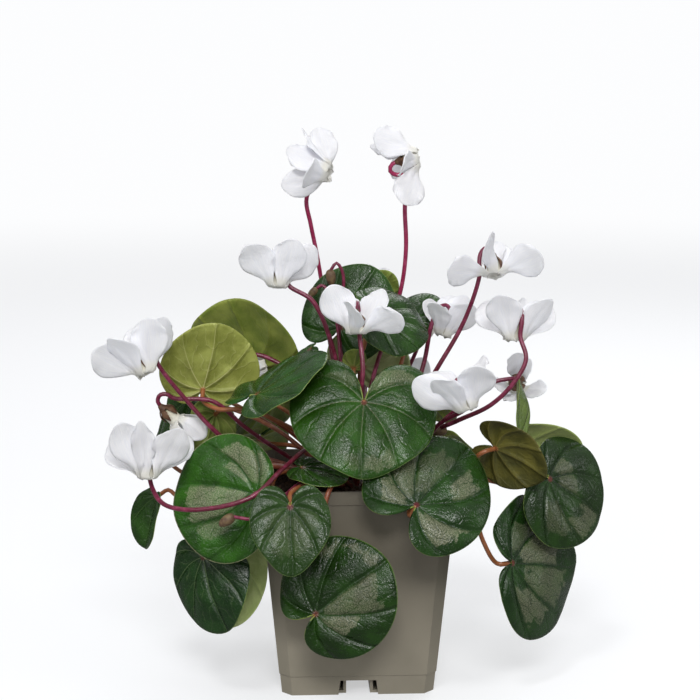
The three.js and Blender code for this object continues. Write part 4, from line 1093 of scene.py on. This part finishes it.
def make_soil(material):
    rng = np.random.default_rng(SEED)
    half = bed_half()
    lumps = [(Waves(rng, 2, size), height) for size, height in SOIL.lumps]

    def level(x, y):
        return SOIL.level - SOIL.clear + sum(height * lump(x, y) for lump, height in lumps)

    row = np.linspace(-1, 1, SOIL.steps)
    u, v = np.meshgrid(row, row, indexing="ij")
    x, y = u * half, v * half
    pull = np.maximum(1, inside_share(x, y))
    x, y = x / pull, y / pull
    z = level(x, y)
    top = np.stack([x, y, z], axis=-1)
    foot = np.stack([x, y, np.full_like(z, SOIL.low)], axis=-1)
    points = np.concatenate([top.reshape(-1, 3), foot.reshape(-1, 3)])
    _, faces, _ = sheet_parts(top, 1.0, np.zeros_like(top))
    carried(make_object("soil_bed", points, [f[::-1] for f in faces], [material]), "soil", "soil")
    crumbs = Gathered()
    corners, triangles = ball()
    for _ in range(SOIL.crumbs):
        x, y = rng.uniform(-half, half, 2)
        size = rng.uniform(*SOIL.crumb_sizes) ** 2 * SOIL.crumb
        if inside_share(x, y) > 1 - (size + 0.5) / half:
            continue
        shape = corners * rng.uniform(*SOIL.crumb_stretch, 3) * size
        shape = shape * (1 + SOIL.crumb_rough * rng.normal(size=(len(corners), 1)))
        turn = np.linalg.qr(rng.normal(size=(3, 3)))[0]
        place = vec([x, y, float(level(x, y)) + SOIL.crumb_lift * size])
        crumbs.add(shape @ turn + place, triangles, np.zeros((len(corners), 2)))
    carried(crumbs.make("soil_crumbs", [material]), "soil", "soil")


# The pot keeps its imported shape, with softened edges

def dress_pot():
    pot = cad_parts["pot"]
    pot.data.materials.clear()
    pot.data.materials.append(pot_material())
    bevel = pot.modifiers.new("soft_edges", "BEVEL")
    bevel.width = POT.bevel * MM
    bevel.segments = POT.bevel_steps
    bevel.limit_method = "ANGLE"
    bevel.angle_limit = math.radians(POT.bevel_angle)
    bevel.harden_normals = True


# Studio

def make_stage():
    """A pale studio sweep: a round floor that turns up into a far wall. It is there for the camera
    and takes the plant's shadow, and the light that a floor would throw back comes from the world."""
    material, g = new_material("floor")
    x, y, _ = g.parts(g.place())
    far = g.math("SQRT", g.plus(g.math("POWER", x, 2.0), g.math("POWER", y, 2.0)))
    away = g.span(far, STAGE.near, STAGE.far)
    colour = g.mix(away, STAGE.near_tone, STAGE.far_tone)
    glow = g.plus(g.times(away, STAGE.glow_far - STAGE.glow_near), STAGE.glow_near)
    g.set(Base_Color=colour, Roughness=0.9, Specular_IOR_Level=0.0)
    g.set(Emission_Color=WHITE, Emission_Strength=glow)
    profile = [(radius, 0.0) for radius in STAGE.radii]
    for k in range(STAGE.turn_steps + 1):
        angle = math.pi / 2 * k / STAGE.turn_steps
        profile.append((STAGE.radius + STAGE.turn * math.sin(angle), STAGE.turn * (1 - math.cos(angle))))
    profile.append((STAGE.radius + STAGE.turn, STAGE.height))
    count = STAGE.sectors
    angles = [2 * math.pi * k / count for k in range(count)]
    points = [(0.0, 0.0, 0.0)]
    for radius, height in profile[1:]:
        points += [(radius * math.cos(angle), radius * math.sin(angle), height) for angle in angles]
    pairs = [(k, (k + 1) % count) for k in range(count)]
    faces = [(0, 1 + k, 1 + after) for k, after in pairs]
    for low in range(1, 1 + (len(profile) - 2) * count, count):
        faces += [(low + k, low + count + k, low + count + after, low + after) for k, after in pairs]
    mesh = bpy.data.meshes.new("floor")
    mesh.from_pydata(points, [], faces)
    mesh.shade_smooth()
    mesh.materials.append(material)
    floor = placed("floor", mesh)
    floor.visible_diffuse = False
    floor.visible_glossy = False
    floor.visible_shadow = False


def make_sky():
    """Soft light from all round: some from the floor below, little from the sides, more from above."""
    world = bpy.data.worlds.new("studio")
    bpy.context.scene.world = world
    world.use_nodes = True
    g = Graph(world.node_tree)
    background = world.node_tree.nodes["Background"]
    _, _, up = g.parts(g.place("Generated"))
    below, above = [g.span(up, *fade) for fade in SKY]
    g.put(background.inputs[1], g.plus(below, above))
    background.inputs[0].default_value = WHITE


def aim(lamp, direction):
    lamp.rotation_euler = Vector(direction).to_track_quat("-Z", "Y").to_euler()


def make_lights():
    sun = bpy.data.lights.new("key", "SUN")
    sun.energy = SUN.energy
    sun.angle = math.radians(SUN.angle)
    aim(placed("key", sun), -Vector(SUN.source))
    for name, place, size, power in SOFTBOXES:
        light = bpy.data.lights.new(name, "AREA")
        light.shape = "RECTANGLE"
        light.size, light.size_y = size
        light.energy = power
        lamp = placed(name, light)
        lamp.location = place
        aim(lamp, Vector(SOFTBOX_AIM) - Vector(place))


def make_camera():
    data = bpy.data.cameras.new("camera")
    data.lens = CAMERA.lens
    data.sensor_width = CAMERA.sensor
    camera = placed("camera", data)
    camera.location = CAMERA.place
    camera.rotation_euler = (math.radians(90 - CAMERA.down), 0, math.radians(CAMERA.turn))
    bpy.context.scene.camera = camera
    bpy.context.scene.view_settings.view_transform = "Standard"


# The whole plant in its studio

petal_skin = petal_material()
tube_skin = tube_material()
for k, leaf in enumerate(LEAVES):
    upper = leaf_material("leaf_upper_" + leaf.name, True, **{**UPPER_LOOK, **UPPER_LOOKS.get(leaf.name, {})})
    under_look = UNDER_LOOKS.get(leaf.name, UNDER_LOOK)
    under = leaf_material(
        "leaf_under_" + leaf.name, False, *under_look, UNDER_VEINING, UNDER_GLOSS, under_look[1], UNDER_HEART,
    )
    make_blade(leaf, SEED + k, upper, under)
for k, flower in enumerate(FLOWERS):
    make_bloom(flower, SEED + 100 + k, petal_skin, tube_skin)
petiole_skin = stalk_material("petiole", *PETIOLE_LOOK)
scape_skin = stalk_material("scape", *SCAPE_LOOK)
pink_scape_skin = stalk_material("pink_scape", *PINK_SCAPE_LOOK)
make_petioles(petiole_skin)
make_scapes(scape_skin, pink_scape_skin, husk_material("calyx", *CALYX_LOOK))
make_buds(scape_skin, husk_material("bud", *BUD_LOOK))
make_corm(husk_material("corm", *CORM_LOOK))
make_soil(soil_material())
dress_pot()
make_stage()
make_sky()
make_lights()
make_camera()
